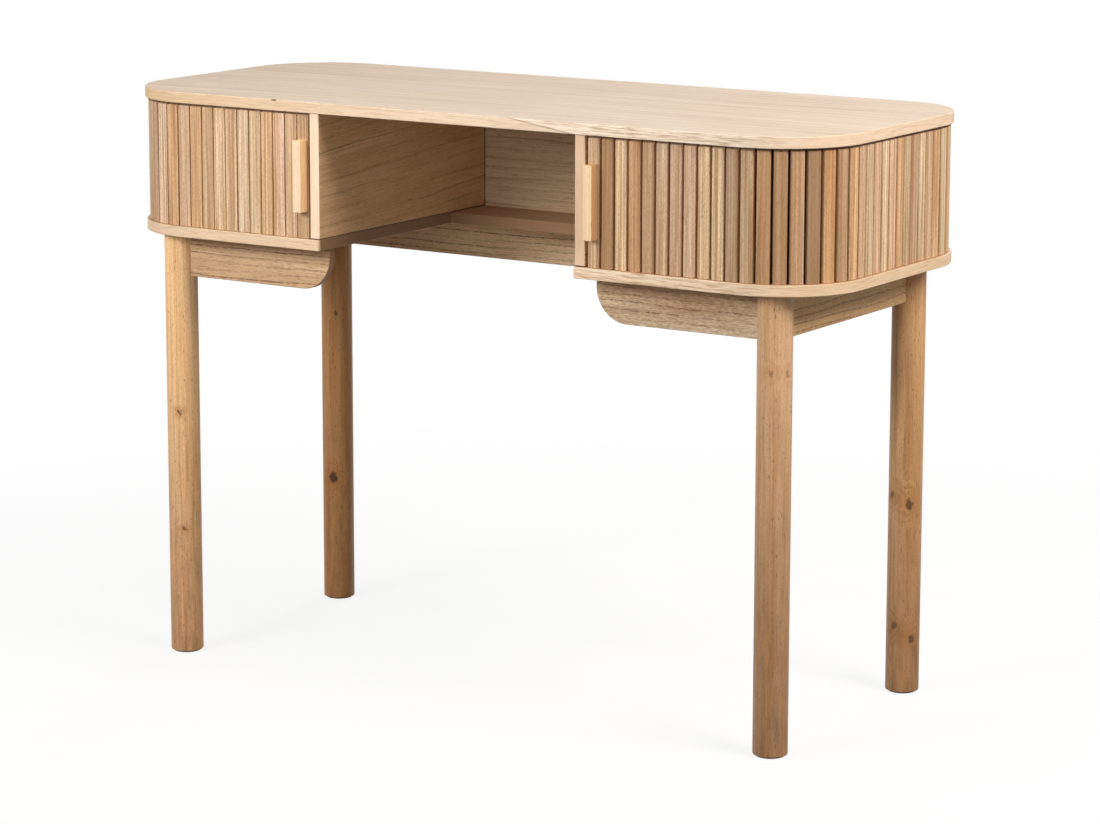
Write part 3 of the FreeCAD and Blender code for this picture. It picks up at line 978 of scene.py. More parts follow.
@dataclass(frozen=True)
class SlatTree:
    """Geometry Nodes that set eased slats along the track, each with a tone and a shade of its own."""

    bend_points: int = 48
    easing_points: int = 4
    weld: float = 0.00001
    tone_range: Pair = (0.0, 1.0)
    shade_range: Pair = (-0.35, 0.5)
    shade_seed_step: float = 100.0
    lengths: tuple[str, ...] = (
        "Outline Length", "Outline Depth", "Outline Middle", "Bend Radius", "First Distance", "Pitch",
        "Width", "Thickness", "Easing", "Low", "Height", "Tongue", "Tongue Height", "Browner", "Side",
    )
    counts: tuple[str, ...] = ("Slat Count", "First Number", "Seed")

    def make(self) -> Tree:
        """Build the tree.

        Returns:
            A Geometry Nodes tree that ends in plain, dressed meshes.
        """
        kinds = {name: "Float" for name in self.lengths}
        kinds.update({name: "Int" for name in self.counts})
        tree = new_tree("tambour_slats", {**kinds, "Finish": "Material"})
        given = add_node(tree, "NodeGroupInput").outputs
        index = add_node(tree, "GeometryNodeInputIndex")
        points, rotation = self.places(tree, given, index)
        copies = add_node(tree, "GeometryNodeInstanceOnPoints", {
            "Points": points, "Instance": self.slat(tree, given), "Rotation": rotation,
        })
        end_tree(tree, self.tones(tree, given, index, copies), given["Finish"])
        return tree

    def places(self, tree: Tree, given: Outputs, index: Source) -> tuple[Source, Source]:
        """Find where each slat stands and which way it faces.

        Args:
            tree: The tree.
            given: Its named inputs.
            index: Slat's place in its group, from 0.

        Returns:
            Points of the slats and their rotations.
        """
        outline = add_node(tree, "GeometryNodeCurvePrimitiveQuadrilateral", {
            "Width": given["Outline Length"], "Height": given["Outline Depth"],
        })
        rounded = add_node(tree, "GeometryNodeFilletCurve", {
            "Curve": outline, "Radius": given["Bend Radius"], "Count": self.bend_points,
        }, mode="POLY")
        middle = add_node(tree, "ShaderNodeCombineXYZ", {1: given["Outline Middle"]})
        track = add_node(tree, "GeometryNodeTransform", {"Geometry": rounded, "Translation": middle})
        whole = add_node(tree, "GeometryNodeCurveLength", {0: track})
        along = add_node(tree, "ShaderNodeMath", {
            0: index, 1: given["Pitch"], 2: given["First Distance"],
        }, operation="MULTIPLY_ADD")
        along = add_node(tree, "ShaderNodeMath", {0: along, 1: whole, 2: 0.0}, operation="WRAP")
        spot = add_node(tree, "GeometryNodeSampleCurve", {
            "Curves": track, "Length": along,
        }, mode="LENGTH")
        flip = add_node(tree, "ShaderNodeCombineXYZ", {0: given["Side"], 1: 1.0, 2: 1.0})
        place = add_node(tree, "ShaderNodeVectorMath", {
            0: spot.outputs["Position"], 1: flip,
        }, operation="MULTIPLY")
        way = add_node(tree, "ShaderNodeSeparateXYZ", {0: spot.outputs["Tangent"]})
        heading = add_node(tree, "ShaderNodeMath", {
            0: way.outputs[1], 1: way.outputs[0],
        }, operation="ARCTAN2")
        turn = add_node(tree, "ShaderNodeMath", {0: heading, 1: given["Side"]}, operation="MULTIPLY")
        rotation = add_node(tree, "ShaderNodeCombineXYZ", {2: turn})
        points = add_node(tree, "GeometryNodePoints", {"Count": given["Slat Count"]})
        placed = add_node(tree, "GeometryNodeSetPosition", {"Geometry": points, "Position": place})
        return placed, rotation

    def slat(self, tree: Tree, given: Outputs) -> Node:
        """Make one slat: a section with eased front edges, drawn up, with its tongue on top.

        Args:
            tree: The tree.
            given: Its named inputs.

        Returns:
            The slat's mesh.
        """
        section = add_node(tree, "GeometryNodeCurvePrimitiveQuadrilateral", {
            "Width": given["Width"], "Height": given["Thickness"],
        })
        here = add_node(tree, "GeometryNodeInputPosition")
        corner = add_node(tree, "ShaderNodeSeparateXYZ", {0: here})
        front = add_node(tree, "ShaderNodeMath", {0: corner.outputs[1], 1: 0.0}, operation="LESS_THAN")
        ease = add_node(tree, "ShaderNodeMath", {0: front, 1: given["Easing"]}, operation="MULTIPLY")
        eased = add_node(tree, "GeometryNodeFilletCurve", {
            "Curve": section, "Radius": ease, "Count": self.easing_points,
        }, mode="POLY")
        half = add_node(tree, "ShaderNodeMath", {0: given["Thickness"], 1: -0.5}, operation="MULTIPLY")
        foot = add_node(tree, "ShaderNodeCombineXYZ", {1: half, 2: given["Low"]})
        filled = add_node(tree, "GeometryNodeFillCurve", {0: eased}, mode="NGONS")
        end = add_node(tree, "GeometryNodeTransform", {"Geometry": filled, "Translation": foot})
        drawn = add_node(tree, "GeometryNodeExtrudeMesh", {
            "Mesh": end, "Offset": (0.0, 0.0, 1.0), "Offset Scale": given["Height"], "Individual": False,
        }, mode="FACES")
        under = add_node(tree, "GeometryNodeFlipFaces", {0: end})
        body = self.join(tree, drawn, under)
        closed = add_node(tree, "GeometryNodeMergeByDistance", {"Geometry": body, "Distance": self.weld})
        return self.join(tree, closed, self.tongue(tree, given))

    def tongue(self, tree: Tree, given: Outputs) -> Node:
        """Make the tongue that runs in the top's groove.

        Args:
            tree: The tree.
            given: Its named inputs.

        Returns:
            The tongue's mesh.
        """
        size = add_node(tree, "ShaderNodeCombineXYZ", {
            0: given["Width"], 1: given["Tongue"], 2: given["Tongue Height"],
        })
        bar = add_node(tree, "GeometryNodeMeshCube", {"Size": size})
        half = add_node(tree, "ShaderNodeMath", {0: given["Tongue"], 1: -0.5}, operation="MULTIPLY")
        top = add_node(tree, "ShaderNodeMath", {0: given["Low"], 1: given["Height"]}, operation="ADD")
        level = add_node(tree, "ShaderNodeMath", {
            0: given["Tongue Height"], 1: 0.5, 2: top,
        }, operation="MULTIPLY_ADD")
        place = add_node(tree, "ShaderNodeCombineXYZ", {1: half, 2: level})
        return add_node(tree, "GeometryNodeTransform", {"Geometry": bar, "Translation": place})

    def join(self, tree: Tree, first: Node, second: Node) -> Node:
        """Join two meshes.

        Args:
            tree: The tree.
            first: One mesh.
            second: The other.

        Returns:
            Both as one.
        """
        joined = add_node(tree, "GeometryNodeJoinGeometry")
        for part in (first, second):
            tree.links.new(part.outputs[0], joined.inputs[0])
        return joined

    def tones(self, tree: Tree, given: Outputs, index: Source, copies: Source) -> Source:
        """Draw a tone and a shade for each slat by its number, and keep them with its copy.

        Args:
            tree: The tree.
            given: Its named inputs.
            index: Slat's place in its group, from 0.
            copies: The slats.

        Returns:
            The slats with their attributes.
        """
        number = add_node(tree, "ShaderNodeMath", {0: index, 1: given["First Number"]}, operation="ADD")
        for name, (low, high), lean, seed_step in (
            ("tone", self.tone_range, 0.0, 0.0), ("shade", self.shade_range, 1.0, self.shade_seed_step),
        ):
            seed = add_node(tree, "ShaderNodeMath", {0: given["Seed"], 1: seed_step}, operation="ADD")
            chance = add_node(tree, "FunctionNodeRandomValue", {
                "ID": number, "Seed": seed,
            }, data_type="FLOAT")
            spread = add_node(tree, "ShaderNodeMapRange", {
                "Value": chance.outputs[1], "To Min": low, "To Max": high,
            })
            value = add_node(tree, "ShaderNodeMath", {
                0: given["Browner"], 1: lean, 2: spread,
            }, operation="MULTIPLY_ADD", use_clamp=True)
            copies = add_node(tree, "GeometryNodeStoreNamedAttribute", {
                "Geometry": copies, "Name": name, "Value": value,
            }, data_type="FLOAT", domain="INSTANCE")
        return copies


@dataclass(frozen=True)
class DoorLook:
    """What one door has of its own: its slats' size and tones, and the tones of its handle, whose sides carry
    partly painted shade.

    The seed was chosen so that pale and brown slats fall about as they do on the real desk.
    """

    side: Side
    seed: int
    browner: float
    width: float
    easing: float
    handle_front: str
    handle_side: str
    handle_lines: str


@dataclass
class TambourDoor:
    """One sliding door: slats on a cloth, a handle on the first slat.

    Slats are counted from the handle. Only those before bend_end, which show from the front,
    take the door's own browning. A lapped strip of cloth ends past its last slat: each step of
    the lap is a distance past the strip's end and one inward.
    """

    look: DoorLook
    tree: Tree
    slat_finish: bpy.types.Material
    cloth_finish: bpy.types.Material
    bend_end: int = 18
    track: Track = Track()
    counts: tuple[int, ...] = (1, 2, 2, 2, 2, 2, 2, 2, 2, 2, 3, 3, 3, 2, 3, 2, 2)
    first: float = -0.208
    pitch: float = 0.020
    thickness: float = 0.007
    low: float = 0.6074
    shoulder: float = 0.7715
    tongue: float = 0.004
    tongue_top: float = 0.7746
    cloth_low: float = 0.612
    cloth_high: float = 0.7665
    cloth_thickness: float = 0.0008
    cloth_steps: int = 5
    glue: float = 0.00005
    cloth_trim: float = 0.00005
    lapped: tuple[int, ...] = (22, 25)
    lap: tuple[Pair, ...] = ((-0.0020, 0.0), (-0.0003, 0.0010), (0.0022, 0.0025))

    def groups(self) -> list[tuple[str, str, list[int]]]:
        """List the slats that move together.

        Returns:
            Body, CAD node and slat numbers of each group.
        """
        word = self.look.side.word
        found, number = [], 1
        for count in self.counts:
            numbers = list(range(number, number + count))
            if number == 1:
                found.append((word + "_lead", word + "_lead_slat", numbers))
            else:
                node = word + "_slats_" + "_".join("%02d" % n for n in numbers)
                found.append((node, node, numbers))
            number += count
        return found

    def build(self) -> None:
        """Make the slats and the cloth of every group and dress the handle."""
        word = self.look.side.word
        for body, node, numbers in self.groups():
            slats = self.slats(node, numbers)
            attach(slats, body)
            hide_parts(node)
            cloth = self.cloth(node, numbers)
            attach(cloth, body)
            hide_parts(word + "_canvas")
            LOG.info("built %s and %s on %s", slats.name, cloth.name, body)
        dress(word + "_handle", self.handle_finish())

    def handle_finish(self) -> bpy.types.Material:
        """Make the finish of the handle.

        Returns:
            The material.
        """
        # Planed pine: smooth and creamy in front, with faint lines; the sides more orange and darker, partly
        # real tone and partly painted shade, most of it on the right handle
        return EdgedWood(
            "planed_pine_%s_handle" % self.look.side.word, pale=self.look.handle_front, warm="#f0d5b0",
            deep="#d6a876", pore="#8a5a2e", roughness=0.45, grain=Grain.UPRIGHT, ring_mm=5.0,
            wander_rings=1.5, figure=0.35, fibre=0.25, pores=0.15, across=Across.Y,
            band_pale=self.look.handle_side, band_deep=self.look.handle_lines, band_mm=(60.0, 3.0),
        ).make()

    def slats(self, node: str, numbers: list[int]) -> bpy.types.Object:
        """Grow the slats of one group.

        Args:
            node: CAD node they stand for.
            numbers: Their numbers.

        Returns:
            One mesh object.
        """
        return grow(node.replace("slat", "wood_slat"), self.tree, {
            "Side": float(self.look.side.value),
            "Outline Length": 2 * self.track.half_length,
            "Outline Depth": 2 * self.track.half_depth,
            "Outline Middle": self.track.middle_y,
            "Bend Radius": self.track.radius,
            "First Distance": self.track.front_bend + self.first + self.pitch * (numbers[0] - 1),
            "First Number": numbers[0],
            "Slat Count": len(numbers),
            "Pitch": self.pitch,
            "Width": self.look.width,
            "Thickness": self.thickness,
            "Easing": self.look.easing,
            "Low": self.low,
            "Height": self.shoulder - self.low,
            "Tongue": self.tongue,
            "Tongue Height": self.tongue_top - self.shoulder,
            "Browner": self.look.browner if numbers[0] < self.bend_end else 0.0,
            "Seed": self.look.seed,
            "Finish": self.slat_finish,
        })

    def cloth_run(self, numbers: list[int]) -> list[Pair]:
        """Find the places along the track at which a strip of cloth is drawn.

        Where the door opens most in a bend, the strip's end is set inward and laps over the next one.

        Args:
            numbers: Numbers of the slats in front of the strip.

        Returns:
            Distance along the track and distance inward of each place.
        """
        # Half a pitch before the middle of the group's first slat
        begin = self.first + self.pitch * (numbers[0] - 1.5)
        end = begin + self.pitch * len(numbers)
        steps = self.cloth_steps * len(numbers)
        run = [(begin + (end - begin) * step / steps, 0.0) for step in range(steps + 1)]
        run[0] = (begin + self.cloth_trim, 0.0)
        run[-1] = (end - self.cloth_trim, 0.0)
        if numbers[-1] in self.lapped:
            run[-1:] = [(end + along, inward) for along, inward in self.lap]
        return run

    def cloth(self, node: str, numbers: list[int]) -> bpy.types.Object:
        """Make the strip of cloth behind one group of slats.

        Args:
            node: CAD node of the slats.
            numbers: Their numbers.

        Returns:
            One mesh object with a UV map in metres.
        """
        levels = (self.cloth_low, self.cloth_high)
        mesh = bpy.data.meshes.new(node + "_cloth")
        shape = bmesh.new()
        layer = shape.loops.layers.uv.new("cloth")
        rows = []
        for distance, inward in self.cloth_run(numbers):
            point, heading = self.track.place(distance)
            outward = Vector((math.sin(heading), -math.cos(heading)))
            row = []
            for depth in (self.glue, self.glue + self.cloth_thickness):
                spot = point - outward * (depth + inward)
                row += [shape.verts.new((self.look.side.value * spot.x, spot.y, z)) for z in levels]
            rows.append((distance, row))
        for (start, this), (end, following) in zip(rows, rows[1:]):
            for a, b in ((0, 1), (1, 3), (3, 2), (2, 0)):
                face = shape.faces.new((this[a], this[b], following[b], following[a]))
                for loop, along in zip(face.loops, (start, start, end, end)):
                    loop[layer].uv = (along, loop.vert.co.z)
        for cap in (rows[0][1], rows[-1][1]):
            shape.faces.new((cap[0], cap[1], cap[3], cap[2]))
        bmesh.ops.recalc_face_normals(shape, faces=shape.faces)
        shape.to_mesh(mesh)
        shape.free()
        mesh.materials.append(self.cloth_finish)
        made = bpy.data.objects.new(node.replace("slat", "cloth_slat"), mesh)
        bpy.context.scene.collection.objects.link(made)
        return made


@dataclass
class TambourPair:
    """Both doors, which share their slats' wood and their cloth."""

    looks: tuple[DoorLook, ...] = (
        DoorLook(
            Side.LEFT, seed=121710, browner=-0.08, width=0.0188, easing=0.0014,
            handle_front="#f8e5d0", handle_side="#f6ce9e", handle_lines="#c88a4e",
        ),
        DoorLook(
            Side.RIGHT, seed=289795, browner=0.34, width=0.0174, easing=0.0024,
            handle_front="#f3d8b4", handle_side="#cba175", handle_lines="#a47040",
        ),
    )

    def build(self) -> None:
        """Make what the doors share, then each door."""
        # Sawn paulownia strips: straw to brown, no two alike, streaked and silky, with painted shade on the
        # tongues
        slat_finish = SlatWood(
            "sawn_paulownia_slats", warm="#c08c57", deep="#8f653f", pore="#5d3c25", roughness=0.58,
            grain=Grain.UPRIGHT, ring_mm=5.0, wander_rings=2.0, wander_mm=(300.0, 12.0), late=0.5,
            figure=0.5, fibre_mm=(170.0, 2.6), fibre_span=(0.46, 0.64), fibre=0.55, pore_mm=(7.0, 1.2),
            pores=0.25, drift_mm=(420.0, 5.5), tooth=0.25,
        ).make()
        # Woven cotton canvas, dyed brown: dull and dark between the slats, with a coarse weave
        cloth_finish = Weave("brown_woven_canvas", roughness=0.9, relief_mm=0.2).make()
        tree = SlatTree().make()
        for look in self.looks:
            TambourDoor(look, tree, slat_finish, cloth_finish).build()


@dataclass
class Carcass:
    """Top, base, walls: veneered boards that keep their CAD shapes."""

    top_scarf_mm: Triple = (100.0, 6.7, 790.0)
    base_scarf_mm: Triple = (60.0, 6.7, 607.0)
    chip_at_mm: Triple = (-271.0, -219.0, 789.2)
    kneehole_half_mm: float = 200.6
    kneehole_depth_mm: Pair = (-215.0, 95.0)
    # Every rim of a wall but the front one gets painted shade
    divider_half_mm: float = 300.0
    divider_depth_mm: Pair = (-215.9, 300.0)
    # Height and depth past which painted shade marks the gaps to the base and the back
    base_seam_mm: float = 608.6
    back_seam_mm: float = 174.5

    def dress(self) -> None:
        """Give each board a finish cut along its own grain."""
        self.dress_boards()
        self.dress_walls()

    def dress_boards(self) -> None:
        """Dress the top and the base, which have glued edge bands."""
        # Sliced ash veneer, sanded and oiled matt: pale, with wide soft lines and a paler band
        # on the edge, which turns yellower to the left and wavy past its scarf joint
        top = EdgedWood(
            "desk_top_ash_veneer", pale="#d7c9bb", warm="#d0bfae", deep="#b49880", pore="#8d6b4c",
            roughness=0.85, gloss=0.12, ring_mm=17.0, wander_rings=2.0, figure=0.35,
            fibre_mm=(240.0, 9.0), fibre=0.25, pores=0.2, drift_mm=(420.0, 40.0), tooth=0.08,
            band_pale="#e8d1b8", band_left="#dcbf99", band_deep="#b08862",
            scarf_mm=self.top_scarf_mm, fleck_at_mm=self.chip_at_mm,
        )
        # The same veneer from a browner log; where the kneehole is cut out of the board its
        # core shows as a dark edge
        base = EdgedWood(
            "base_ash_veneer", pale="#cba987", warm="#c09a74", deep="#9a7150", pore="#7a5638",
            cut_at_mm=(130.0, 60.0, 40.0), figure=0.4, band_pale="#e2c6a6", band_deep="#a87c56",
            wavy_pale="#eed6b8", scarf_mm=self.base_scarf_mm,
            dark_rim_half_mm=self.kneehole_half_mm, dark_rim_depth_mm=self.kneehole_depth_mm,
        )
        dress("desk_top", top.make())
        dress("base_board", base.make())

    def dress_walls(self) -> None:
        """Dress the dividers and the back panel."""
        for side, cut, band in ((Side.LEFT, 210.0, "#efd7bb"), (Side.RIGHT, 590.0, "#dcbe9f")):
            # Ash veneer with thin dark ring lines that lean a little, a pale band in front,
            # and painted shade on the other rims and in the gaps where the wall meets the base and the back
            wall = EdgedWood(
                side.word + "_divider_ash_veneer", pale="#e9c398", warm="#dbb080", deep="#714c2b",
                pore="#6a4629", grain=Grain.FRONT_TO_BACK, lean_deg=-4.0, cut_at_mm=(cut, 35.0, 20.0),
                ring_mm=14.0, wander_rings=1.8, wander_mm=(420.0, 110.0), late=0.14, figure=0.46,
                fibre=0.28, across=Across.X, band_pale=band, band_deep="#d3ab80", core_and_seam_shade="#3d2714",
                dark_rim_half_mm=self.divider_half_mm, dark_rim_depth_mm=self.divider_depth_mm,
                seam_low_mm=self.base_seam_mm, seam_rear_mm=self.back_seam_mm,
            )
            dress(side.word + "_divider", wall.make())
        # Ash veneer with closer, wider ring lines, so the wall looks evenly striped
        back = Wood(
            "back_panel_ash_veneer", pale="#e2c7a8", warm="#d4b592", deep="#8a6442", pore="#6a4629",
            cut_at_mm=(330.0, 20.0, 70.0), ring_mm=10.0, wander_rings=2.2, wander_mm=(380.0, 90.0),
            late=0.3, figure=0.5, fibre=0.4,
        )
        dress("back_panel", back.make())


@dataclass(frozen=True)
class ApronLook:
    """Tones of one apron, where in the wood it is cut and how many pores stand between rows."""

    node: str
    grain: Grain
    cut_at_mm: Triple
    pale: str
    warm: str
    between: float = 0.15


@dataclass(frozen=True)
class KnotMark:
    """A knot seen on a leg: its height, its turn about the leg, its size and how dark it is.

    The turn is counted from the right towards the back.
    """

    height_mm: float
    angle_deg: float
    radius_mm: float
    strength: float


@dataclass(frozen=True)
class LegLook:
    """Tones and knots of one leg, where in the wood it is cut and how much painted shade darkens its foot."""

    node: str
    side: Side
    row: Row
    cut_mm: float
    floor_shade: float
    pale: str
    warm: str
    deep: str
    knots: tuple[KnotMark, ...]


@dataclass
class Underframe:
    """Aprons, legs and the felt under the feet."""

    leg_x: float = 0.468
    leg_y: Pair = (-0.1745, 0.1855)
    leg_radius: float = 0.0225
    pad_radius: float = 0.019
    pad_thickness: float = 0.002
    pad_layers: int = 7
    pad_waist: float = 0.965
    pad_sides: int = 48
    aprons: tuple[ApronLook, ...] = (
        ApronLook("left_front_apron", Grain.LENGTHWISE, (70.0, 15.0, 5.0), "#dab68f", "#cfa77e", 0.12),
        ApronLook("right_front_apron", Grain.LENGTHWISE, (410.0, 90.0, 55.0), "#efd6b4", "#bc956d", 0.36),
        ApronLook("rear_apron", Grain.LENGTHWISE, (640.0, 30.0, 85.0), "#fad8b0", "#eec69b"),
        ApronLook("left_side_apron", Grain.FRONT_TO_BACK, (150.0, 45.0, 25.0), "#dab284", "#cca071"),
        # Paler and warmer than the left side apron: painted light for the warm bounce light in its shade
        ApronLook("right_side_apron", Grain.FRONT_TO_BACK, (520.0, 75.0, 35.0), "#ffdaa6", "#fcca90"),
    )
    legs: tuple[LegLook, ...] = (
        LegLook("front_left_leg", Side.LEFT, Row.FRONT, 0.0, 0.44, "#ffdaa8", "#fdc78e", "#a05a26", (
            KnotMark(343.0, -67.0, 3.2, 0.9), KnotMark(178.0, -56.0, 2.4, 0.7),
        )),
        LegLook("rear_left_leg", Side.LEFT, Row.REAR, 300.0, 0.0, "#c89a66", "#b98350", "#96562a", (
            KnotMark(184.0, -73.0, 7.5, 1.0), KnotMark(430.0, -58.0, 3.0, 0.8),
        )),
        LegLook("front_right_leg", Side.RIGHT, Row.FRONT, 700.0, 0.62, "#dcb690", "#d0a071", "#8a5c36", (
            KnotMark(494.0, -72.0, 4.5, 0.5), KnotMark(493.0, -14.0, 4.0, 0.5),
        )),
        LegLook("rear_right_leg", Side.RIGHT, Row.REAR, 1100.0, 0.66, "#e6bb8d", "#d6a573", "#865830", (
            KnotMark(261.0, -51.0, 7.0, 0.9), KnotMark(272.0, -114.0, 5.5, 0.7),
            KnotMark(93.0, -95.0, 5.5, 0.7), KnotMark(76.0, -32.0, 5.5, 0.8),
        )),
    )

    def dress(self) -> None:
        """Give the aprons and legs their finishes."""
        for look in self.aprons:
            # Sliced ash veneer with open pores: thin dark lines broken into dashes, and bare
            # darker edges
            apron = RingPorousWood(
                look.node + "_ash_veneer", pale=look.pale, warm=look.warm, deep="#86603d", pore="#573723",
                grain=look.grain, cut_at_mm=look.cut_at_mm, ring_mm=7.0, wander_rings=1.6,
                wander_mm=(260.0, 60.0), late=0.22, figure=0.5, fibre=0.35, between=look.between,
                across=Across.Y if look.grain is Grain.LENGTHWISE else Across.X,
                band_pale="#94704e", band_deep="#6f4d32",
            )
            dress(look.node, apron.make())
        for look in self.legs:
            # Turned and oiled pine: honey-brown and smooth with a faint gloss, sparse flecks,
            # dark knots, stains at the foot and painted shade that darkens it
            leg = KnottyWood(
                "turned_pine_" + look.node, pale=look.pale, warm=look.warm, deep=look.deep, pore="#3d1f0d",
                roughness=0.45, grain=Grain.UPRIGHT, cut_at_mm=(look.cut_mm, 0.0, 0.0), ring_mm=8.0,
                wander_rings=3.0, wander_mm=(420.0, 34.0), figure=0.38, fibre_mm=(75.0, 1.9),
                fibre_span=(0.42, 0.68), fibre=0.28, pore_mm=(6.0, 1.6), pore_span=(0.72, 0.8), pores=0.5,
                drift_mm=(330.0, 16.0), tooth=0.16, floor_shade=look.floor_shade,
                knots=tuple(self.knot(look, mark) for mark in look.knots),
            )
            dress(look.node, leg.make())

    def knot(self, look: LegLook, mark: KnotMark) -> Knot:
        """Place one knot on the surface of a leg.

        Args:
            look: The leg.
            mark: The knot as it is seen on the leg.

        Returns:
            The knot with its place on the desk.
        """
        turn = math.radians(mark.angle_deg)
        x = look.side.value * self.leg_x + self.leg_radius * math.cos(turn)
        y = self.leg_y[look.row.value] + self.leg_radius * math.sin(turn)
        return Knot((x / MM, y / MM, mark.height_mm), mark.radius_mm, mark.strength)

    def build(self) -> None:
        """Make the felt pads under the feet."""
        # Pressed wool felt: grey, cloudy and quite matt
        felt = Felt("pressed_wool_felt", roughness=0.95, relief_mm=0.3).make()
        pads = grow("felt_pads", self.pad_tree(), {
            "Radius": self.pad_radius, "Thickness": self.pad_thickness, "Length Between": 2 * self.leg_x,
            "Depth Between": self.leg_y[1] - self.leg_y[0], "Middle": sum(self.leg_y) / 2, "Finish": felt,
        })
        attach(pads, "desk")
        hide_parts("foot_glides")
        LOG.info("built %s", pads.name)

    def pad_tree(self) -> Tree:
        """Build the tree that sets a bowed felt disc under each leg.

        Returns:
            A Geometry Nodes tree that ends in plain, dressed meshes.
        """
        tree = new_tree("felt_pads", {
            "Radius": "Float", "Thickness": "Float", "Length Between": "Float", "Depth Between": "Float",
            "Middle": "Float", "Finish": "Material",
        })
        given = add_node(tree, "NodeGroupInput").outputs
        corners = add_node(tree, "GeometryNodeMeshGrid", {
            "Size X": given["Length Between"], "Size Y": given["Depth Between"],
            "Vertices X": 2, "Vertices Y": 2,
        })
        middle = add_node(tree, "ShaderNodeCombineXYZ", {1: given["Middle"]})
        feet = add_node(tree, "GeometryNodeTransform", {"Geometry": corners, "Translation": middle})
        levels = add_node(tree, "ShaderNodeCombineXYZ", {2: given["Thickness"]})
        rise = add_node(tree, "GeometryNodeCurvePrimitiveLine", {"End": levels})
        steps = add_node(tree, "GeometryNodeResampleCurve", {
            "Curve": rise, "Count": self.pad_layers,
        }, mode="COUNT")
        share = add_node(tree, "GeometryNodeSplineParameter").outputs["Factor"]
        bow = add_node(tree, "ShaderNodeFloatCurve", {"Value": share})
        curve = bow.mapping.curves[0]
        curve.points[0].location = (0.0, self.pad_waist)
        curve.points[1].location = (1.0, self.pad_waist)
        curve.points.new(0.5, 1.0)
        girth = add_node(tree, "ShaderNodeMath", {0: bow, 1: given["Radius"]}, operation="MULTIPLY")
        ring = add_node(tree, "GeometryNodeCurvePrimitiveCircle", {
            "Resolution": self.pad_sides, "Radius": 1.0,
        })
        pad = add_node(tree, "GeometryNodeCurveToMesh", {
            "Curve": steps, "Profile Curve": ring, "Scale": girth, "Fill Caps": True,
        })
        copies = add_node(tree, "GeometryNodeInstanceOnPoints", {"Points": feet, "Instance": pad})
        end_tree(tree, copies, given["Finish"])
        return tree


@dataclass
class Fixings:
    """Screws, bolts and dowels inside the desk."""

    metal: tuple[str, ...] = ("leg_bolts", "carcass_screws", "left_handle_screws", "right_handle_screws")
    wooden: tuple[str, ...] = ("top_dowels", "apron_dowels")

    def dress(self) -> None:
        """Give the metal and the dowels their finishes."""
        # Zinc-plated steel: a light grey metal, satin and faintly mottled
        zinc = ZincPlate("zinc_plated_steel", roughness=0.34, relief_mm=0.02).make()
        for node in self.metal:
            dress(node, zinc)
        # Fluted beech dowels: plain, pale and closely lined
        beech = Wood(
            "fluted_beech_dowels", pale="#dcbb94", warm="#d1ab82", deep="#a87d54", grain=Grain.UPRIGHT,
            ring_mm=4.0,
        ).make()
        for node in self.wooden:
            dress(node, beech)


@dataclass(frozen=True)
class Lamp:
    """A soft rectangular lamp."""

    name: str
    place: Triple
    aim: Triple
    size: Pair
    watts: float
    spread_deg: float = 180.0
    colour: str = "#ffffff"

    def build(self) -> None:
        """Hang the lamp and turn it to what it lights."""
        data = bpy.data.lights.new(self.name, "AREA")
        data.shape = "RECTANGLE"
        data.size, data.size_y = self.size
        data.energy = self.watts
        data.color = linear(self.colour)[:3]
        data.spread = math.radians(self.spread_deg)
        lamp = bpy.data.objects.new(self.name, data)
        lamp.location = self.place
        lamp.rotation_euler = (Vector(self.aim) - Vector(self.place)).to_track_quat("-Z", "Y").to_euler()
        bpy.context.scene.collection.objects.link(lamp)
        LOG.info("hung %s", self.name)


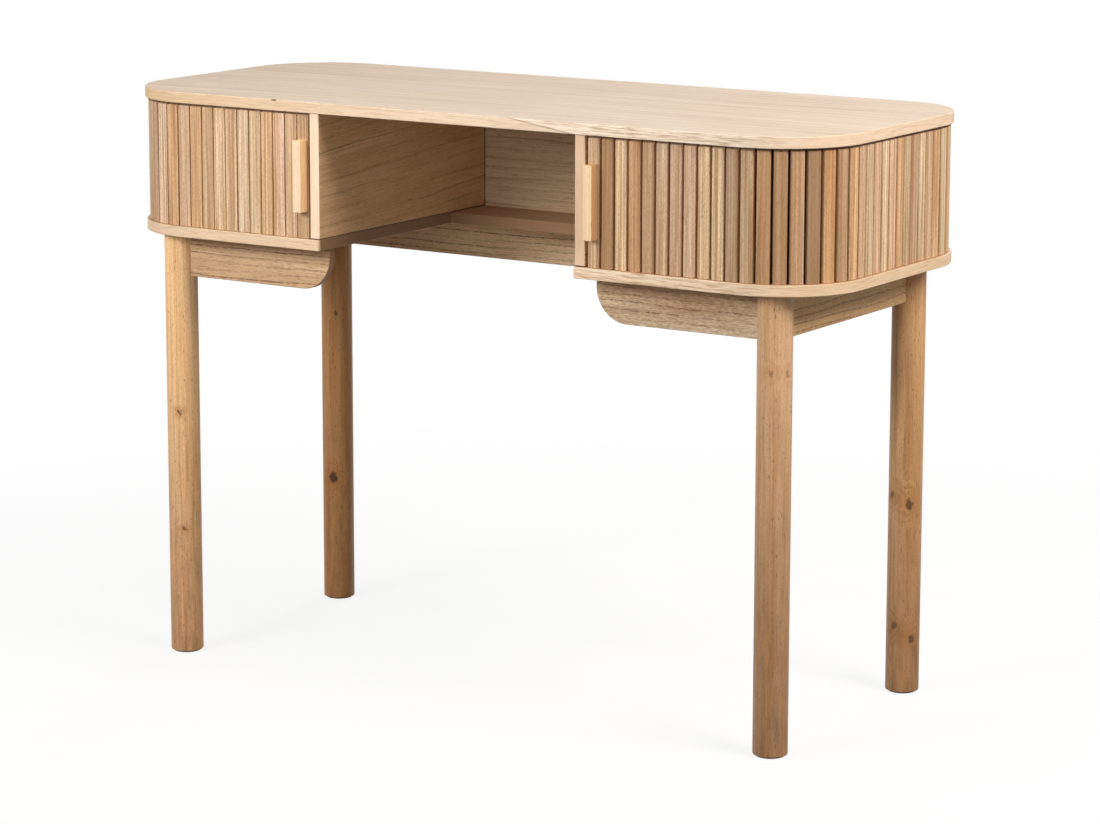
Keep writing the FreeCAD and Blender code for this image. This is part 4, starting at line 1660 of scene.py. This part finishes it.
@dataclass
class Studio:
    """White studio: floor, lamps, surrounding light and the camera of the photograph."""

    camera_place: Triple = (2.6191, -4.0165, 1.3239)
    yaw_deg: float = 32.873
    pitch_deg: float = 10.087
    roll_deg: float = 0.079
    lens_mm: float = 118.05
    sensor_mm: float = 36.0
    rise: float = -0.0727
    surround: float = 0.3
    floor_level: float = -0.0003
    floor_half: float = 30.0
    floor_fade: Pair = (0.5, 1.8)
    floor_white: Pair = (0.84, 1.0)
    lamps: tuple[Lamp, ...] = (
        Lamp("front_softbox", (-0.85, -2.3, 1.6), (-0.15, -0.1, 0.68), (1.1, 0.9), 8.5, spread_deg=72.0),
        Lamp("fill_softbox", (0.6, -1.9, 1.0), (-0.2, 0.0, 0.7), (0.8, 0.8), 1.1, spread_deg=70.0),
        Lamp("right_softbox", (2.3, -0.3, 2.2), (0.4, 0.0, 0.7), (1.2, 1.2), 67.0, colour="#fff9f0"),
        Lamp("overhead_softbox", (-0.5, 0.2, 2.9), (-0.1, 0.0, 0.7), (2.2, 1.4), 9.0),
        Lamp("rear_softbox", (-0.4, 2.6, 1.3), (0.0, 0.2, 0.6), (1.2, 0.9), 3.2, spread_deg=70.0),
    )

    def build(self) -> None:
        """Set up the whole studio."""
        self.floor()
        self.world()
        for lamp in self.lamps:
            lamp.build()
        self.camera()
        bpy.context.scene.view_settings.view_transform = "Standard"

    def background_rays(self, tree: Tree) -> Source:
        """Pick the rays that see the white studio: the camera's, and those in gloss and glass.

        Args:
            tree: Node tree of the floor or the world.

        Returns:
            Value that is 1 for those rays.
        """
        rays = add_node(tree, "ShaderNodeLightPath").outputs
        seen = rays["Is Camera Ray"]
        for kind in ("Is Glossy Ray", "Is Transmission Ray"):
            seen = add_node(tree, "ShaderNodeMath", {0: seen, 1: rays[kind]}, operation="MAXIMUM")
        return seen

    def floor(self) -> None:
        """Lay the pale floor, which shows the desk's shadow softly."""
        half = self.floor_half
        mesh = bpy.data.meshes.new("studio_floor")
        square = ((-half, -half), (half, -half), (half, half), (-half, half))
        mesh.from_pydata([(x, y, self.floor_level) for x, y in square], [], [(0, 1, 2, 3)])
        # White paper: plain, with the shadow near the desk and no horizon far from it
        material = bpy.data.materials.new("white_studio_paper")
        material.use_nodes = True
        tree = material.node_tree
        tree.nodes.clear()
        paper = add_node(tree, "ShaderNodeBsdfDiffuse", {"Color": linear("#f4f4f4")})
        white = add_node(tree, "ShaderNodeEmission", {"Color": linear("#ffffff"), "Strength": 1.0})
        here = add_node(tree, "ShaderNodeTexCoord").outputs["Object"]
        far = add_node(tree, "ShaderNodeVectorMath", {0: here}, operation="LENGTH").outputs["Value"]
        share = add_node(tree, "ShaderNodeMapRange", {
            "Value": far, "From Min": self.floor_fade[0], "From Max": self.floor_fade[1],
            "To Min": self.floor_white[0], "To Max": self.floor_white[1],
        })
        lit = add_node(tree, "ShaderNodeMixShader", {0: share, 1: paper, 2: white})
        dull = add_node(tree, "ShaderNodeBsdfDiffuse", {"Color": linear("#77736d")})
        both = add_node(tree, "ShaderNodeMixShader", {0: self.background_rays(tree), 1: dull, 2: lit})
        add_node(tree, "ShaderNodeOutputMaterial", {"Surface": both})
        mesh.materials.append(material)
        floor = bpy.data.objects.new("studio_floor", mesh)
        bpy.context.scene.collection.objects.link(floor)

    def world(self) -> None:
        """Surround the desk with weak light that the camera sees as white."""
        world = bpy.data.worlds.new("studio")
        world.use_nodes = True
        tree = world.node_tree
        tree.nodes.clear()
        weak = add_node(tree, "ShaderNodeBackground", {"Color": linear("#fffaf2"), "Strength": self.surround})
        white = add_node(tree, "ShaderNodeBackground", {"Color": linear("#ffffff"), "Strength": 1.0})
        both = add_node(tree, "ShaderNodeMixShader", {0: self.background_rays(tree), 1: weak, 2: white})
        add_node(tree, "ShaderNodeOutputWorld", {"Surface": both})
        bpy.context.scene.world = world

    def camera(self) -> None:
        """Stand the camera where the photograph was taken from."""
        data = bpy.data.cameras.new("photograph")
        data.sensor_width = self.sensor_mm
        data.sensor_fit = "HORIZONTAL"
        data.lens = self.lens_mm
        data.shift_y = self.rise
        camera = bpy.data.objects.new("photograph", data)
        camera.location = self.camera_place
        turn = Euler((math.radians(90 - self.pitch_deg), 0.0, math.radians(self.yaw_deg)), "XYZ").to_matrix()
        roll = Euler((0.0, 0.0, math.radians(self.roll_deg)), "XYZ").to_matrix()
        camera.rotation_euler = (turn @ roll).to_euler()
        bpy.context.scene.collection.objects.link(camera)
        bpy.context.scene.camera = camera


def main() -> None:
    """Build and dress the desk in order, then the studio."""
    logging.basicConfig(level=logging.INFO, format="%(name)s: %(message)s")
    Carcass().dress()
    underframe = Underframe()
    underframe.dress()
    underframe.build()
    TambourPair().build()
    Fixings().dress()
    Studio().build()


if __name__ == "__main__":
    main()
